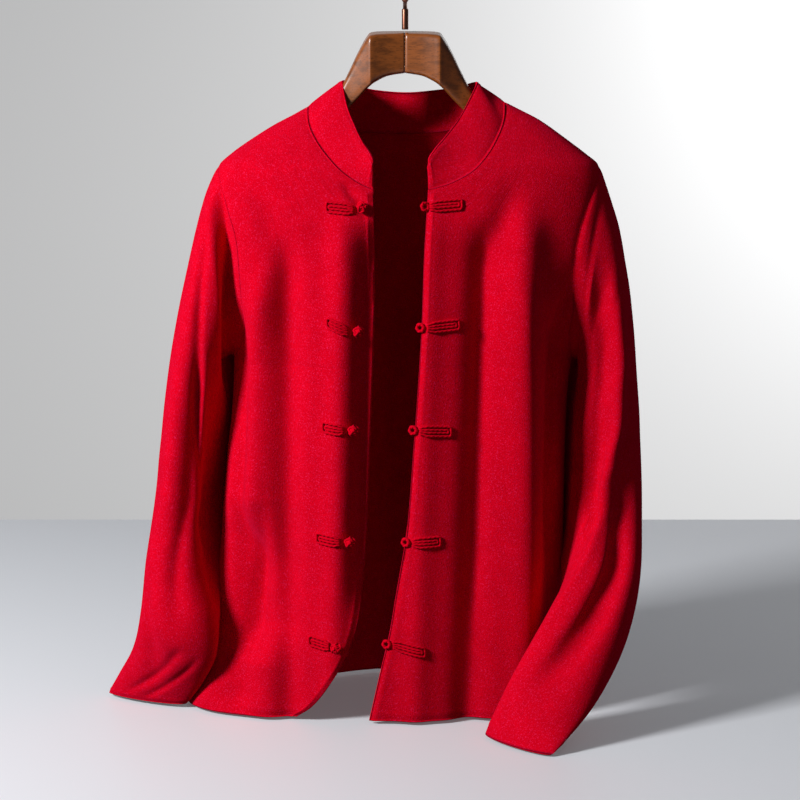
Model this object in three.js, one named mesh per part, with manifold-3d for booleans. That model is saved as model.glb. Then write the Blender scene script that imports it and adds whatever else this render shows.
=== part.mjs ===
import * as THREE from 'three';
import Module from 'manifold-3d';
import { mergeVertices } from 'three/addons/utils/BufferGeometryUtils.js';

// Mandarin collar cardigan in felted wool on a wooden hanger. Millimetres, +Z up. The front
// faces -Y and +X is the right of the front view. The origin is the point inside the top of
// the hook that bears on a rail.

const wasm = await Module();
wasm.setup();

// Cloth
const WALL = 2.4;
const SEAM_GAP = 0.3;
const ROUNDNESS = 2.4;
const HEM_Z = -796;

// Neck, shoulder tip and armhole. The armhole is an ellipse in the side view.
const NECK_POINT_Z = -143.5;
const NECK_FRONT_Z = -231;
const ARMHOLE = { z: -312, halfHeight: 103, frontReach: 54, backReach: 50 };
const NECK_TILT = 2.5;
const TILT_FROM_Z = -200;
const TILT_WIDTH = 105;

// Counts of the grids
const AROUND_ARM = 24;
const YOKE_ROWS = 4;
const SKIRT_ROWS = 13;
const SHOULDER_COLUMNS = 5;
const FRONT_NECK_COLUMNS = 8;
const BACK_NECK_COLUMNS = 12;
const SLEEVE_RINGS = 21;
const COLLAR_ROWS = 4;
const COLLAR_BOW = 0.8;

// Frog fastenings
const FROG = {
  strapHeight: 13, strapEdge: 1.5, strapCrown: 3.4, knotRadius: 6.3, ringOutside: 5.6,
  ringCord: 2, lift: 0.8, ringLift: 0.4, gap: 0.3, columns: 6, rows: 3,
};

// Hanger and hook
const WOOD = { clearance: 0.9, glueLine: 0.3, around: 14, tip: 3 };
const HOOK = {
  innerRadius: 20, wire: 4.6, stemWidth: 7, stemFoot: -65.6, stemTop: -44, ballRadius: 3.6,
  startTurn: -40, endTurn: 222, bendShare: 0.2, foot: 6,
};

const named = (columns, rows) => rows.map(
  (row) => Object.fromEntries(columns.map((name, i) => [name, row[i]])),
);

// Girth at each height: how far the body reaches to the left, the right, the front and the
// back of the middle plane. Above the shoulder tips the sides are the shoulder line.
const GIRTH = named(['z', 'left', 'right', 'front', 'back'], [
  [-130, 84, 84, 1, 2],
  [-143.5, 104, 106, 5, 11],
  [-152, 119, 122, 15, 28],
  [-162, 138, 142, 22, 45],
  [-180, 165, 170, 40, 59],
  [-196, 186, 193, 54, 63],
  [-207, 198, 206, 63, 65],
  [-222, 205, 212, 70, 67],
  [-240, 210, 215, 75, 69],
  [-264, 213, 217, 79, 71],
  [-299, 213, 216, 82, 74],
  [-350, 202, 205, 86, 79],
  [-390, 189, 187, 88, 83],
  [-415, 185, 180, 89, 85],
  [-462, 187, 175.5, 91, 89],
  [-517, 193, 174, 93, 93],
  [-573, 198, 173.5, 94, 97],
  [-629, 203, 173.5, 94, 100],
  [-655, 206.5, 174, 94, 102],
  [-686, 212, 175, 94, 103],
  [-740, 220, 178, 92, 106],
  [-765, 228, 181, 91, 107],
  [-796, 241, 184, 90, 108],
]);

// Front edges: where each front ends at each height.
const LEFT_EDGE = named(['z', 'x'], [
  [-225, -33], [-303, -32], [-365, -33], [-449, -36], [-530, -39], [-601, -42], [-655, -46],
  [-680, -49], [-706, -55], [-727, -63], [-754, -79], [-781, -99], [-796, -118],
]);
const RIGHT_EDGE = named(['z', 'x'], [
  [-225, 24], [-302, 19], [-364, 17], [-449, 12], [-504, 8], [-582, 2], [-627, -5],
  [-662, -11], [-696, -16.5], [-742, -27], [-796, -39],
]);

// Neckline from the neck point to the front edge, and along the back.
const FRONT_NECK = named(['left', 'right', 'z'], [
  [-104, 106, NECK_POINT_Z], [-102, 104, -163], [-93, 95, -182], [-81, 84, -198],
  [-66, 69, -213], [-48, 46, -225], [-33, 24, NECK_FRONT_Z],
]);
const BACK_NECK = named(['x', 'z'], [
  [-104, NECK_POINT_Z], [-98, -152], [-85, -161], [-60, -169], [-30, -173], [0, -174],
  [30, -173], [60, -169], [86, -160], [100, -151], [106, NECK_POINT_Z],
]);

// Top edge of the collar from the left front to the right front. share is how far along
// the neckline each point stands.
const COLLAR_TOP = named(['share', 'x', 'y', 'z'], [
  [0.0, -33, -70.5, -209], [0.012, -33.5, -69, -201], [0.035, -36.5, -64, -193],
  [0.07, -44, -52, -182], [0.115, -53, -34, -164], [0.165, -62, -17, -141],
  [0.22, -66.5, 0, -118], [0.28, -64, 21, -117], [0.34, -55, 40, -122],
  [0.41, -34, 55, -128], [0.5, 1, 61, -131], [0.59, 36, 55, -128], [0.66, 61, 40, -124],
  [0.72, 73, 21, -119.5], [0.78, 77, 0, -119], [0.835, 68, -14, -137], [0.885, 56, -28, -158],
  [0.93, 42, -45, -176], [0.965, 30, -60, -190], [0.988, 25, -67, -199], [1.0, 24, -70, -208],
]);

// Folds of the body panels. Each runs from (x0, z0) down to (x1, z1). depth is out of the
// body when positive, and width is the half width of the soft bump.
const FOLD_COLUMNS = ['x0', 'z0', 'x1', 'z1', 'width', 'depth'];
const FRONT_FOLDS = named(FOLD_COLUMNS, [
  [-150, -300, -166, -640, 15, 9], [-120, -270, -126, -860, 15, -9],
  [-72, -230, -84, -860, 17, 8], [-32, -250, -46, -700, 14, -11],
  [-178, -560, -186, -830, 22, -20], [-158, -215, -120, -330, 16, -5],
  [84, -250, 66, -860, 18, -11], [124, -230, 128, -860, 20, 11],
  [28, -230, 8, -860, 15, 5], [162, -330, 160, -760, 14, -8],
  [118, -205, 86, -330, 15, -5],
]);
const BACK_FOLDS = named(FOLD_COLUMNS, [
  [-118, -230, -138, -860, 20, 9], [-70, -260, -84, -860, 18, -8],
  [-20, -330, -28, -860, 22, 7], [40, -280, 34, -860, 20, -8],
  [88, -230, 104, -860, 18, 9], [140, -420, 150, -860, 15, -7],
  [-160, -520, -180, -860, 16, -8],
]);
const FOLD_FADE = 60;
const SIDE_CALM = 0.45;

// Sleeve rings from the armhole to the cuff: the outer and the inner point of each, its half
// depth front to back, how far its front and back are dished towards the body, and how far
// it slants so that its back reaches in behind the body.
const SLEEVE_COLUMNS = ['ox', 'oy', 'oz', 'ix', 'iy', 'iz', 'deep', 'dish', 'slant'];
const LEFT_SLEEVE = named(SLEEVE_COLUMNS, [
  [-200, 0, -209, -185, 0, -415, 54, 15, 0], [-206, 0, -221, -189, 0, -416.5, 55, 10, 0],
  [-214, 0, -241, -190.5, 0, -420, 57, 8, 2], [-222.5, 0, -273, -191, 0, -428, 59, 9, 6],
  [-231, 0, -313, -191, 0, -441, 60, 11, 11], [-240, 0, -357, -191.5, 0, -460, 60, 13, 15],
  [-248.5, 0, -404, -194, 0, -485, 60, 14, 17], [-255.5, 0, -453, -197, 0, -514, 58, 14, 18],
  [-261.5, 0, -503, -200.5, 0, -545, 55, 14, 18], [-267, 0, -552, -204, 0, -580, 51, 13, 18],
  [-272, -2, -600, -207.5, -6, -615, 48, 12, 15], [-279.5, -14, -645, -211.8, -42, -653, 38, 4, 3],
  [-286, -18, -694, -205, -58, -694, 32, 0, 0], [-298, -8, -735, -205, -56, -732, 25, 0, 0],
  [-316, 6, -768, -220, -42, -766, 18, 0, 0], [-332, 19, HEM_Z, -240, -28, HEM_Z, 12, 0, 0],
]);
const RIGHT_SLEEVE = named(SLEEVE_COLUMNS, [
  [208, 0, -209, 182, 0, -415, 54, 15, 0], [212, 0, -220, 186, 0, -416.5, 55, 10, 0],
  [219, 0, -241, 187, 0, -420, 57, 8, 2], [228.5, 0, -273, 186.5, 0, -428, 59, 9, 6],
  [235, 0, -313, 185, 0, -441, 60, 11, 11], [241.5, 0, -357, 182.5, 0, -460, 60, 13, 15],
  [246.5, -3, -404, 180, 0, -485, 60, 14, 19], [250.5, -10, -453, 178.5, 0, -514, 58, 15, 21],
  [253.5, -17, -503, 177.5, 0, -547, 56, 16, 23], [255, -30, -550, 176.5, -7, -582, 55, 16, 25],
  [253.5, -47, -597, 175.5, -33, -613, 51, 13, 20], [250, -67, -642, 171, -72, -641, 44, 4, 6],
  [240, -92, -685, 153, -98, -669, 39, 0, 0], [222, -122, -723, 133, -111, -701, 33, 0, 0],
  [192, -160, -760, 112, -119, -738, 25, 0, 0], [151, -196, HEM_Z, 84, -128, HEM_Z, 13, 0, 0],
]);

// Folds of the sleeves: turn is the place round the sleeve in degrees, 90 at the front and
// 180 beside the body, at the first and at the last share of the sleeve's length.
const SLEEVE_FOLD_COLUMNS = ['turn0', 'share0', 'turn1', 'share1', 'width', 'depth'];
const LEFT_SLEEVE_FOLDS = named(SLEEVE_FOLD_COLUMNS, [
  [96, 0.3, 112, 0.84, 17, -15], [58, 0.2, 66, 0.7, 18, 5], [255, 0.25, 262, 0.85, 20, -9],
  [40, 0.72, 100, 0.98, 16, -4], [305, 0.3, 300, 0.9, 20, 5],
]);
const RIGHT_SLEEVE_FOLDS = named(SLEEVE_FOLD_COLUMNS, [
  [98, 0.18, 134, 0.68, 17, -15], [66, 0.2, 80, 0.72, 18, 5], [60, 0.62, 110, 0.96, 16, -6],
  [262, 0.25, 255, 0.85, 20, -9], [300, 0.3, 305, 0.9, 20, 5],
]);
const SLEEVE_FOLD_FADE = 0.1;

// The share of the sleeve's length from which its rings turn level for the cuff.
const CUFF_LEVEL = 0.8;

// Frogs from the top: the outer end, the knot and its height on the left front, and the
// ring, the outer end and their heights on the right front.
const FROGS = named(['leftEnd', 'leftZ', 'knot', 'knotZ', 'ring', 'ringZ', 'rightEnd', 'rightZ'], [
  [-83, -249, -47, -252, 19.5, -249, 60, -246],
  [-82, -367, -53, -377, 16.5, -373, 57, -370],
  [-87, -477, -58, -480, 9, -480, 49, -482],
  [-94, -595, -62, -598, 1.5, -599, 38, -598],
  [-103, -707, -73, -711, -19, -710, 22, -718],
]);

// Wooden hanger from the glue line outwards: block, neck and the start of the arm. Farther
// out the arm lies under the shoulder.
const BLOCK = named(['x', 'top', 'bottom', 'front', 'back', 'boxy'], [
  [0, -66, -111, -12, 15, 5], [18, -66, -114, -16, 16, 5], [34, -66.5, -122, -20, 16, 5],
  [38, -68, -125, -20, 16, 5], [41, -72, -128, -17, 15, 4.5], [50, -88, -138, -13, 12, 3.5],
  [60, -109, -148, -9, 9, 2.6], [70, -127.5, -158, -6.5, 7, 2], [86, -142, -169, -5, 7, 2],
]);
const ARM = named(['x', 'height', 'half', 'boxy'], [
  [104, 29, 4.6, 2], [124, 29, 6.4, 2], [146, 28, 9, 2], [166, 26, 11, 2], [180, 22, 11, 2],
  [188, 14, 9, 2],
]);

const COLOURS = {
  cloth: { color: 0xc8102e, roughness: 0.95, metalness: 0 },
  cord: { color: 0xa50d26, roughness: 0.9, metalness: 0 },
  wood: { color: 0x6b3a1e, roughness: 0.3, metalness: 0 },
  brass: { color: 0x8a5a34, roughness: 0.35, metalness: 0.9 },
};

const lerp = (a, b, t) => a + (b - a) * t;
const clamp01 = (t) => Math.min(1, Math.max(0, t));
const ease = (t) => clamp01(t) ** 2 * (3 - 2 * clamp01(t));
const degrees = (angle) => angle * Math.PI / 180;

// A function through one column of a table that never overshoots between its rows.
function through(rows, key, value) {
  const sorted = [...rows].sort((a, b) => a[key] - b[key]);
  const at = sorted.map((row) => row[key]);
  const height = sorted.map((row) => row[value]);
  const last = at.length - 1;
  const secant = at.slice(1).map((end, i) => (height[i + 1] - height[i]) / (end - at[i]));
  const slope = at.map((_, i) => {
    const before = secant[Math.max(0, i - 1)];
    const after = secant[Math.min(last - 1, i)];
    return before * after > 0 ? 2 * before * after / (before + after) : 0;
  });
  return (place) => {
    const p = Math.min(at[last], Math.max(at[0], place));
    let i = 0;
    while (i < last - 1 && p > at[i + 1]) i += 1;
    const span = at[i + 1] - at[i];
    const t = (p - at[i]) / span;
    const keepStart = (1 + 2 * t) * (1 - t) ** 2;
    const keepEnd = t * t * (3 - 2 * t);
    const turnStart = t * (1 - t) ** 2 * span;
    const turnEnd = t * t * (t - 1) * span;
    return keepStart * height[i] + keepEnd * height[i + 1]
      + turnStart * slope[i] + turnEnd * slope[i + 1];
  };
}

const girth = {
  left: through(GIRTH, 'z', 'left'),
  right: through(GIRTH, 'z', 'right'),
  front: through(GIRTH, 'z', 'front'),
  back: through(GIRTH, 'z', 'back'),
};
const leftEdge = through(LEFT_EDGE, 'z', 'x');
const rightEdge = through(RIGHT_EDGE, 'z', 'x');

// Height of all folds at a place on a panel.
function foldHeight(folds, x, z) {
  let height = 0;
  for (const fold of folds) {
    const t = (z - fold.z0) / (fold.z1 - fold.z0);
    const across = (x - lerp(fold.x0, fold.x1, t)) / fold.width;
    const ends = ease((fold.z0 - z) / FOLD_FADE) * ease((z - fold.z1) / FOLD_FADE);
    height += fold.depth * Math.exp(-across * across) * ends;
  }
  return height;
}

// How far the shoulders are tipped: the right side of the neck hangs higher than the left.
function tiltAt(x, z) {
  return NECK_TILT * (x / TILT_WIDTH) * ease((z - TILT_FROM_Z) / (NECK_POINT_Z - TILT_FROM_Z));
}

// A point of the outer face of the body. The angle runs from 0 at the right side through
// 90 degrees at the back to 180 at the left side, and is negative round the front.
function bodyPoint(angle, z) {
  const c = Math.cos(angle);
  const s = Math.sin(angle);
  const half = c < 0 ? girth.left(z) : girth.right(z);
  const depth = s < 0 ? girth.front(z) : girth.back(z);
  const x = Math.sign(c) * half * Math.abs(c) ** (2 / ROUNDNESS);
  const y = Math.sign(s) * depth * Math.abs(s) ** (2 / ROUNDNESS);
  const outX = Math.sign(x) * Math.abs(x / half) ** (ROUNDNESS - 1) / half;
  const outY = Math.sign(y) * Math.abs(y / depth) ** (ROUNDNESS - 1) / depth;
  const folds = s < 0 ? FRONT_FOLDS : BACK_FOLDS;
  const move = foldHeight(folds, x, z) * ease(Math.abs(s) / SIDE_CALM) / Math.hypot(outX, outY);
  return new THREE.Vector3(x + outX * move, y + outY * move, z + tiltAt(x, z));
}

function bodyNormal(angle, z) {
  const turn = degrees(0.6);
  const rise = 1.5;
  const along = bodyPoint(angle + turn, z).sub(bodyPoint(angle - turn, z));
  const up = bodyPoint(angle, z + rise).sub(bodyPoint(angle, z - rise));
  return along.cross(up).normalize();
}

// The angle of a place on the front (face -1) or the back (face 1), from its x.
function angleAtX(x, z, face) {
  const half = x < 0 ? girth.left(z) : girth.right(z);
  return face * Math.acos(Math.sign(x) * Math.min(1, Math.abs(x) / half) ** (ROUNDNESS / 2));
}

// The place on the armhole of one side (-1 left, 1 right) at a turn of its ellipse.
function armholePlace(side, face, turn) {
  const z = ARMHOLE.z + ARMHOLE.halfHeight * Math.cos(turn);
  const reach = face < 0 ? ARMHOLE.frontReach : ARMHOLE.backReach;
  const depth = face < 0 ? girth.front(z) : girth.back(z);
  const rise = Math.asin((reach * Math.abs(Math.sin(turn)) / depth) ** (ROUNDNESS / 2));
  return { angle: face * (side < 0 ? Math.PI - rise : rise), z };
}

const armholeTurn = (row) => 2 * Math.PI * row / AROUND_ARM;
const ARMHOLE_ROWS = AROUND_ARM / 2;
const ROWS = ARMHOLE_ROWS + SKIRT_ROWS;

// The side of a panel at a row: down the armhole, then down the side seam.
function sidePlace(side, face, row) {
  if (row <= ARMHOLE_ROWS) return armholePlace(side, face, armholeTurn(row));
  const pitZ = ARMHOLE.z - ARMHOLE.halfHeight;
  const z = lerp(pitZ, HEM_Z, (row - ARMHOLE_ROWS) / SKIRT_ROWS);
  return { angle: side < 0 ? face * Math.PI : 0, z };
}

// The shoulder seam from the tip to the neck point.
function shoulderPlaces(side, face) {
  const tipZ = ARMHOLE.z + ARMHOLE.halfHeight;
  return Array.from({ length: SHOULDER_COLUMNS }, (_, i) => ({
    angle: side < 0 ? face * Math.PI : 0,
    z: lerp(tipZ, NECK_POINT_Z, i / SHOULDER_COLUMNS),
  }));
}

// The neckline of one front from the neck point to the front edge.
function frontNeckPlaces(side) {
  const column = side < 0 ? 'left' : 'right';
  const line = new THREE.SplineCurve(FRONT_NECK.map((p) => new THREE.Vector2(p[column], p.z)));
  return Array.from({ length: FRONT_NECK_COLUMNS + 1 }, (_, i) => {
    const p = line.getPointAt(1 - (1 - i / FRONT_NECK_COLUMNS) ** 1.25);
    return { angle: angleAtX(p.x, p.y, -1), z: p.y };
  });
}

// The neckline of the back from the left to the right neck point.
function backNeckPlaces() {
  const line = new THREE.SplineCurve(BACK_NECK.map((p) => new THREE.Vector2(p.x, p.z)));
  return Array.from({ length: BACK_NECK_COLUMNS + 1 }, (_, i) => {
    const p = line.getPointAt(i / BACK_NECK_COLUMNS);
    return { angle: angleAtX(p.x, p.y, 1), z: p.y };
  });
}

// The places of a panel: the yoke rows are blended from its four edges, and below them each
// row is level. start and end give the two sides at a row, and top the upper edge.
function panelPlaces(top, start, end) {
  const columns = top.length - 1;
  const level = (row, u) => ({ angle: lerp(start(row).angle, end(row).angle, u), z: start(row).z });
  const blend = (row, column, what) => {
    const u = column / columns;
    const v = row / YOKE_ROWS;
    const edges = lerp(top[column][what], level(YOKE_ROWS, u)[what], v)
      + lerp(start(row)[what], end(row)[what], u);
    const corners = lerp(
      lerp(top[0][what], top[columns][what], u),
      lerp(start(YOKE_ROWS)[what], end(YOKE_ROWS)[what], u),
      v,
    );
    return edges - corners;
  };
  return Array.from({ length: ROWS + 1 }, (_, row) => top.map((_place, column) => (
    row < YOKE_ROWS
      ? { angle: blend(row, column, 'angle'), z: blend(row, column, 'z') }
      : level(row, column / columns)
  )));
}

// Outer points and normals at places of the body. A place on the side or shoulder seam is
// set back by half the gap of the seam.
function clothAt(places, face) {
  return places.map((row) => row.map(({ angle, z }) => {
    const point = bodyPoint(angle, z);
    if (Math.abs(Math.sin(angle)) < 1e-6) point.y += face * SEAM_GAP / 2;
    return { point, normal: bodyNormal(angle, z) };
  }));
}

// A closed mesh with its faces turned out, whichever way the grids run.
function solid(points, triangles) {
  const volume = triangles.reduce((sum, [a, b, c]) => (
    sum + points[a].dot(new THREE.Vector3().crossVectors(points[b], points[c]))
  ), 0);
  const geometry = new THREE.BufferGeometry();
  geometry.setAttribute('position', new THREE.Float32BufferAttribute(
    points.flatMap((p) => p.toArray()), 3,
  ));
  geometry.setIndex(triangles.flatMap(([a, b, c]) => (volume > 0 ? [a, b, c] : [a, c, b])));
  return geometry;
}

// A closed shell between two grids of points of the same size. A grid that goes round joins
// its last column to its first, and capped closes its two ends.
function shell(outer, inner, goesRound = false) {
  const rows = outer.length;
  const columns = outer[0].length;
  const at = (layer, row, column) => (layer * rows + row) * columns + column % columns;
  const triangles = [];
  const quad = (a, b, c, d) => triangles.push([a, b, c], [a, c, d]);
  const across = goesRound ? columns : columns - 1;
  for (let r = 0; r < rows - 1; r += 1) {
    for (let c = 0; c < across; c += 1) {
      quad(at(0, r, c), at(0, r, c + 1), at(0, r + 1, c + 1), at(0, r + 1, c));
      quad(at(1, r, c), at(1, r + 1, c), at(1, r + 1, c + 1), at(1, r, c + 1));
    }
  }
  for (let c = 0; c < across; c += 1) {
    quad(at(1, 0, c), at(1, 0, c + 1), at(0, 0, c + 1), at(0, 0, c));
    quad(at(0, rows - 1, c), at(0, rows - 1, c + 1), at(1, rows - 1, c + 1), at(1, rows - 1, c));
  }
  for (let r = 0; r < rows - 1 && !goesRound; r += 1) {
    quad(at(0, r, 0), at(0, r + 1, 0), at(1, r + 1, 0), at(1, r, 0));
    quad(at(0, r, across), at(1, r, across), at(1, r + 1, across), at(0, r + 1, across));
  }
  return solid([...outer.flat(), ...inner.flat()], triangles);
}

// A cloth wall behind a grid of outer points and their normals.
function wall(cloth, goesRound) {
  const outer = cloth.map((row) => row.map(({ point }) => point));
  const inner = cloth.map((row) => row.map(
    ({ point, normal }) => point.clone().addScaledVector(normal, -WALL),
  ));
  return shell(outer, inner, goesRound);
}

// Normals of a grid of points from its neighbours, turned so that they agree with out.
function gridNormals(points, goesRound, out) {
  const rows = points.length;
  const columns = points[0].length;
  return points.map((row, r) => row.map((_point, c) => {
    const before = goesRound ? (c + columns - 1) % columns : Math.max(0, c - 1);
    const after = goesRound ? (c + 1) % columns : Math.min(columns - 1, c + 1);
    const across = row[after].clone().sub(row[before]);
    const along = points[Math.min(rows - 1, r + 1)][c].clone().sub(points[Math.max(0, r - 1)][c]);
    return across.cross(along).normalize().multiplyScalar(out);
  }));
}

// A seam point of the body moved off the panel by the gap, towards the opening.
function pastSeam(place, before, after, opening) {
  const point = bodyPoint(place.angle, place.z);
  const normal = bodyNormal(place.angle, place.z);
  const seam = bodyPoint(after.angle, after.z).sub(bodyPoint(before.angle, before.z));
  const off = seam.cross(normal).normalize();
  if (off.dot(opening.clone().sub(point)) < 0) off.negate();
  return { point: point.addScaledVector(off, SEAM_GAP), normal };
}

function frontCloth(side) {
  const edge = side < 0 ? leftEdge : rightEdge;
  const neck = frontNeckPlaces(side);
  const top = [...shoulderPlaces(side, -1), ...neck];
  const start = (row) => sidePlace(side, -1, row);
  const end = (row) => {
    const level = start(YOKE_ROWS).z;
    const z = row < YOKE_ROWS ? lerp(NECK_FRONT_Z, level, row / YOKE_ROWS) : start(row).z;
    return { angle: angleAtX(edge(z), z, -1), z };
  };
  return clothAt(panelPlaces(top, start, end), -1);
}

function backPanel() {
  const top = [...shoulderPlaces(-1, 1), ...backNeckPlaces(), ...shoulderPlaces(1, 1).reverse()];
  const start = (row) => sidePlace(-1, 1, row);
  const end = (row) => sidePlace(1, 1, row);
  return wall(clothAt(panelPlaces(top, start, end), 1));
}

// The armhole seam all round, from the shoulder tip down the front and up the back.
function armholeRing(side) {
  const places = Array.from({ length: AROUND_ARM }, (_, i) => (
    armholePlace(side, i <= ARMHOLE_ROWS ? -1 : 1, armholeTurn(i))
  ));
  const middle = new THREE.Vector3(side * girth.left(ARMHOLE.z), 0, ARMHOLE.z);
  return places.map((place, i) => pastSeam(
    place,
    places[(i + AROUND_ARM - 1) % AROUND_ARM],
    places[(i + 1) % AROUND_ARM],
    middle,
  ));
}

function sleeveFoldHeight(folds, turn, share) {
  let height = 0;
  for (const fold of folds) {
    const t = (share - fold.share0) / (fold.share1 - fold.share0);
    const away = turn - lerp(fold.turn0, fold.turn1, t);
    const ends = ease((share - fold.share0) / SLEEVE_FOLD_FADE)
      * ease((fold.share1 - share) / SLEEVE_FOLD_FADE);
    height += fold.depth * Math.exp(-((away / fold.width) ** 2)) * ends;
  }
  return height;
}

function sleeve(side, rings, folds) {
  const rows = rings.map((ring, i) => ({ ...ring, i }));
  const outerLine = new THREE.CatmullRomCurve3(
    rows.map((p) => new THREE.Vector3(p.ox, p.oy, p.oz)), false, 'catmullrom', 0.5,
  );
  const innerLine = new THREE.CatmullRomCurve3(
    rows.map((p) => new THREE.Vector3(p.ix, p.iy, p.iz)), false, 'catmullrom', 0.5,
  );
  const deep = through(rows, 'i', 'deep');
  const dish = through(rows, 'i', 'dish');
  const slant = through(rows, 'i', 'slant');
  const middleAt = (t) => outerLine.getPoint(t).add(innerLine.getPoint(t)).multiplyScalar(0.5);
  const ringAt = (share) => {
    const half = outerLine.getPoint(share).sub(innerLine.getPoint(share)).multiplyScalar(0.5);
    const axis = middleAt(Math.min(1, share + 0.02)).sub(middleAt(Math.max(0, share - 0.02)));
    axis.normalize().lerp(new THREE.Vector3(0, 0, -1), ease((share - CUFF_LEVEL) / (1 - CUFF_LEVEL)));
    const forward = axis.clone().cross(half).normalize();
    if (forward.y > 0) forward.negate();
    const along = half.clone().normalize();
    const place = share * (rows.length - 1);
    return Array.from({ length: AROUND_ARM }, (_, i) => {
      const turn = armholeTurn(i);
      const fold = sleeveFoldHeight(folds, turn * 180 / Math.PI, share);
      const sideways = slant(place) * Math.sin(turn) - dish(place) * Math.sin(turn) ** 2;
      return middleAt(share)
        .addScaledVector(half, Math.cos(turn))
        .addScaledVector(forward, deep(place) * Math.sin(turn))
        .addScaledVector(along, fold * Math.cos(turn))
        .addScaledVector(forward, fold * Math.sin(turn))
        .add(new THREE.Vector3(side * sideways, 0, 0));
    });
  };
  const first = armholeRing(side);
  const points = [first.map(({ point }) => point)];
  for (let i = 1; i <= SLEEVE_RINGS; i += 1) points.push(ringAt((i / SLEEVE_RINGS) ** 0.92));
  const normals = gridNormals(points, true, side < 0 ? -1 : 1);
  const cloth = points.map((row, r) => row.map((point, c) => ({
    point, normal: r === 0 ? first[c].normal : normals[r][c],
  })));
  return wall(cloth, true);
}

// The stand collar rises from the neckline to its own top edge, with a slight bow.
function collar() {
  const left = frontNeckPlaces(-1).reverse();
  const right = frontNeckPlaces(1);
  const places = [...left, ...backNeckPlaces().slice(1, -1), ...right];
  const middle = new THREE.Vector3(0, 0, NECK_POINT_Z);
  const last = places.length - 1;
  const foot = places.map((place, i) => pastSeam(
    place, places[Math.max(0, i - 1)], places[Math.min(last, i + 1)], middle,
  ));
  const lengths = [0];
  for (let i = 1; i <= last; i += 1) {
    lengths.push(lengths[i - 1] + foot[i].point.distanceTo(foot[i - 1].point));
  }
  const topAt = ['x', 'y', 'z'].map((axis) => through(COLLAR_TOP, 'share', axis));
  const points = Array.from({ length: COLLAR_ROWS + 1 }, (_, row) => foot.map(({ point }, i) => {
    const top = new THREE.Vector3(...topAt.map((value) => value(lengths[i] / lengths[last])));
    const t = row / COLLAR_ROWS;
    const bow = COLLAR_BOW * Math.sin(Math.PI * t);
    const out = new THREE.Vector3(point.x, point.y, 0).normalize();
    return point.clone().lerp(top, t).addScaledVector(out, bow);
  }));
  const normals = gridNormals(points, false, 1);
  return wall(points.map((row, r) => row.map((point, c) => ({
    point, normal: r === 0 ? foot[c].normal : normals[r][c],
  }))));
}

const fronts = { left: frontCloth(-1), right: frontCloth(1) };

// The share of each corner of a triangle at a place of the front view, or null outside it.
function sharesIn(a, b, c, x, z) {
  const whole = (b.x - a.x) * (c.z - a.z) - (c.x - a.x) * (b.z - a.z);
  const ofB = ((x - a.x) * (c.z - a.z) - (c.x - a.x) * (z - a.z)) / whole;
  const ofC = ((b.x - a.x) * (z - a.z) - (x - a.x) * (b.z - a.z)) / whole;
  const inside = ofB >= 0 && ofC >= 0 && ofB + ofC <= 1;
  return inside ? [1 - ofB - ofC, ofB, ofC] : null;
}

// The outer face of the fronts at a place of the front view, on the panel's own triangles,
// and past their edges on the form that they follow.
function frontAt(x, z) {
  const angle = angleAtX(x, z, -1);
  const point = bodyPoint(angle, z);
  for (const cloth of Object.values(fronts)) {
    for (let r = 0; r < cloth.length - 1; r += 1) {
      for (let c = 0; c < cloth[r].length - 1; c += 1) {
        const corners = [cloth[r][c], cloth[r][c + 1], cloth[r + 1][c + 1], cloth[r + 1][c]]
          .map((place) => place.point);
        for (const [i, k] of [[1, 2], [2, 3]]) {
          const shares = sharesIn(corners[0], corners[i], corners[k], x, z);
          if (shares) {
            point.set(x, 0, z);
            point.y = shares[0] * corners[0].y + shares[1] * corners[i].y + shares[2] * corners[k].y;
          }
        }
      }
    }
  }
  return { point, normal: bodyNormal(angle, z) };
}

// A strap of doubled cord that lies on the front from one place to another.
function frogStrap(x0, z0, x1, z1) {
  const grid = (height) => Array.from({ length: FROG.rows + 1 }, (_, r) => (
    Array.from({ length: FROG.columns + 1 }, (__, c) => {
      const t = c / FROG.columns;
      const across = (r / FROG.rows - 0.5) * 2;
      const x = lerp(x0, x1, t);
      const z = lerp(z0, z1, t) + across * FROG.strapHeight / 2;
      const { point, normal } = frontAt(x, z);
      return point.addScaledVector(normal, FROG.lift + height(across));
    })
  ));
  const crown = (across) => lerp(FROG.strapCrown, FROG.strapEdge, Math.abs(across) ** 2);
  return shell(grid(crown), grid(() => 0));
}

function frogKnot(x, z) {
  const { point, normal } = frontAt(x, z);
  const ball = new THREE.SphereGeometry(FROG.knotRadius, 10, 7);
  const centre = point.addScaledVector(normal, FROG.knotRadius + FROG.lift);
  return ball.translate(...centre.toArray());
}

function frogRing(x, z) {
  const { point, normal } = frontAt(x, z);
  const ring = new THREE.TorusGeometry(FROG.ringOutside - FROG.ringCord, FROG.ringCord, 6, 12);
  const turn = new THREE.Quaternion().setFromUnitVectors(new THREE.Vector3(0, 0, 1), normal);
  const centre = point.addScaledVector(normal, FROG.ringCord + FROG.ringLift);
  return ring.applyQuaternion(turn).translate(...centre.toArray());
}

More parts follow.
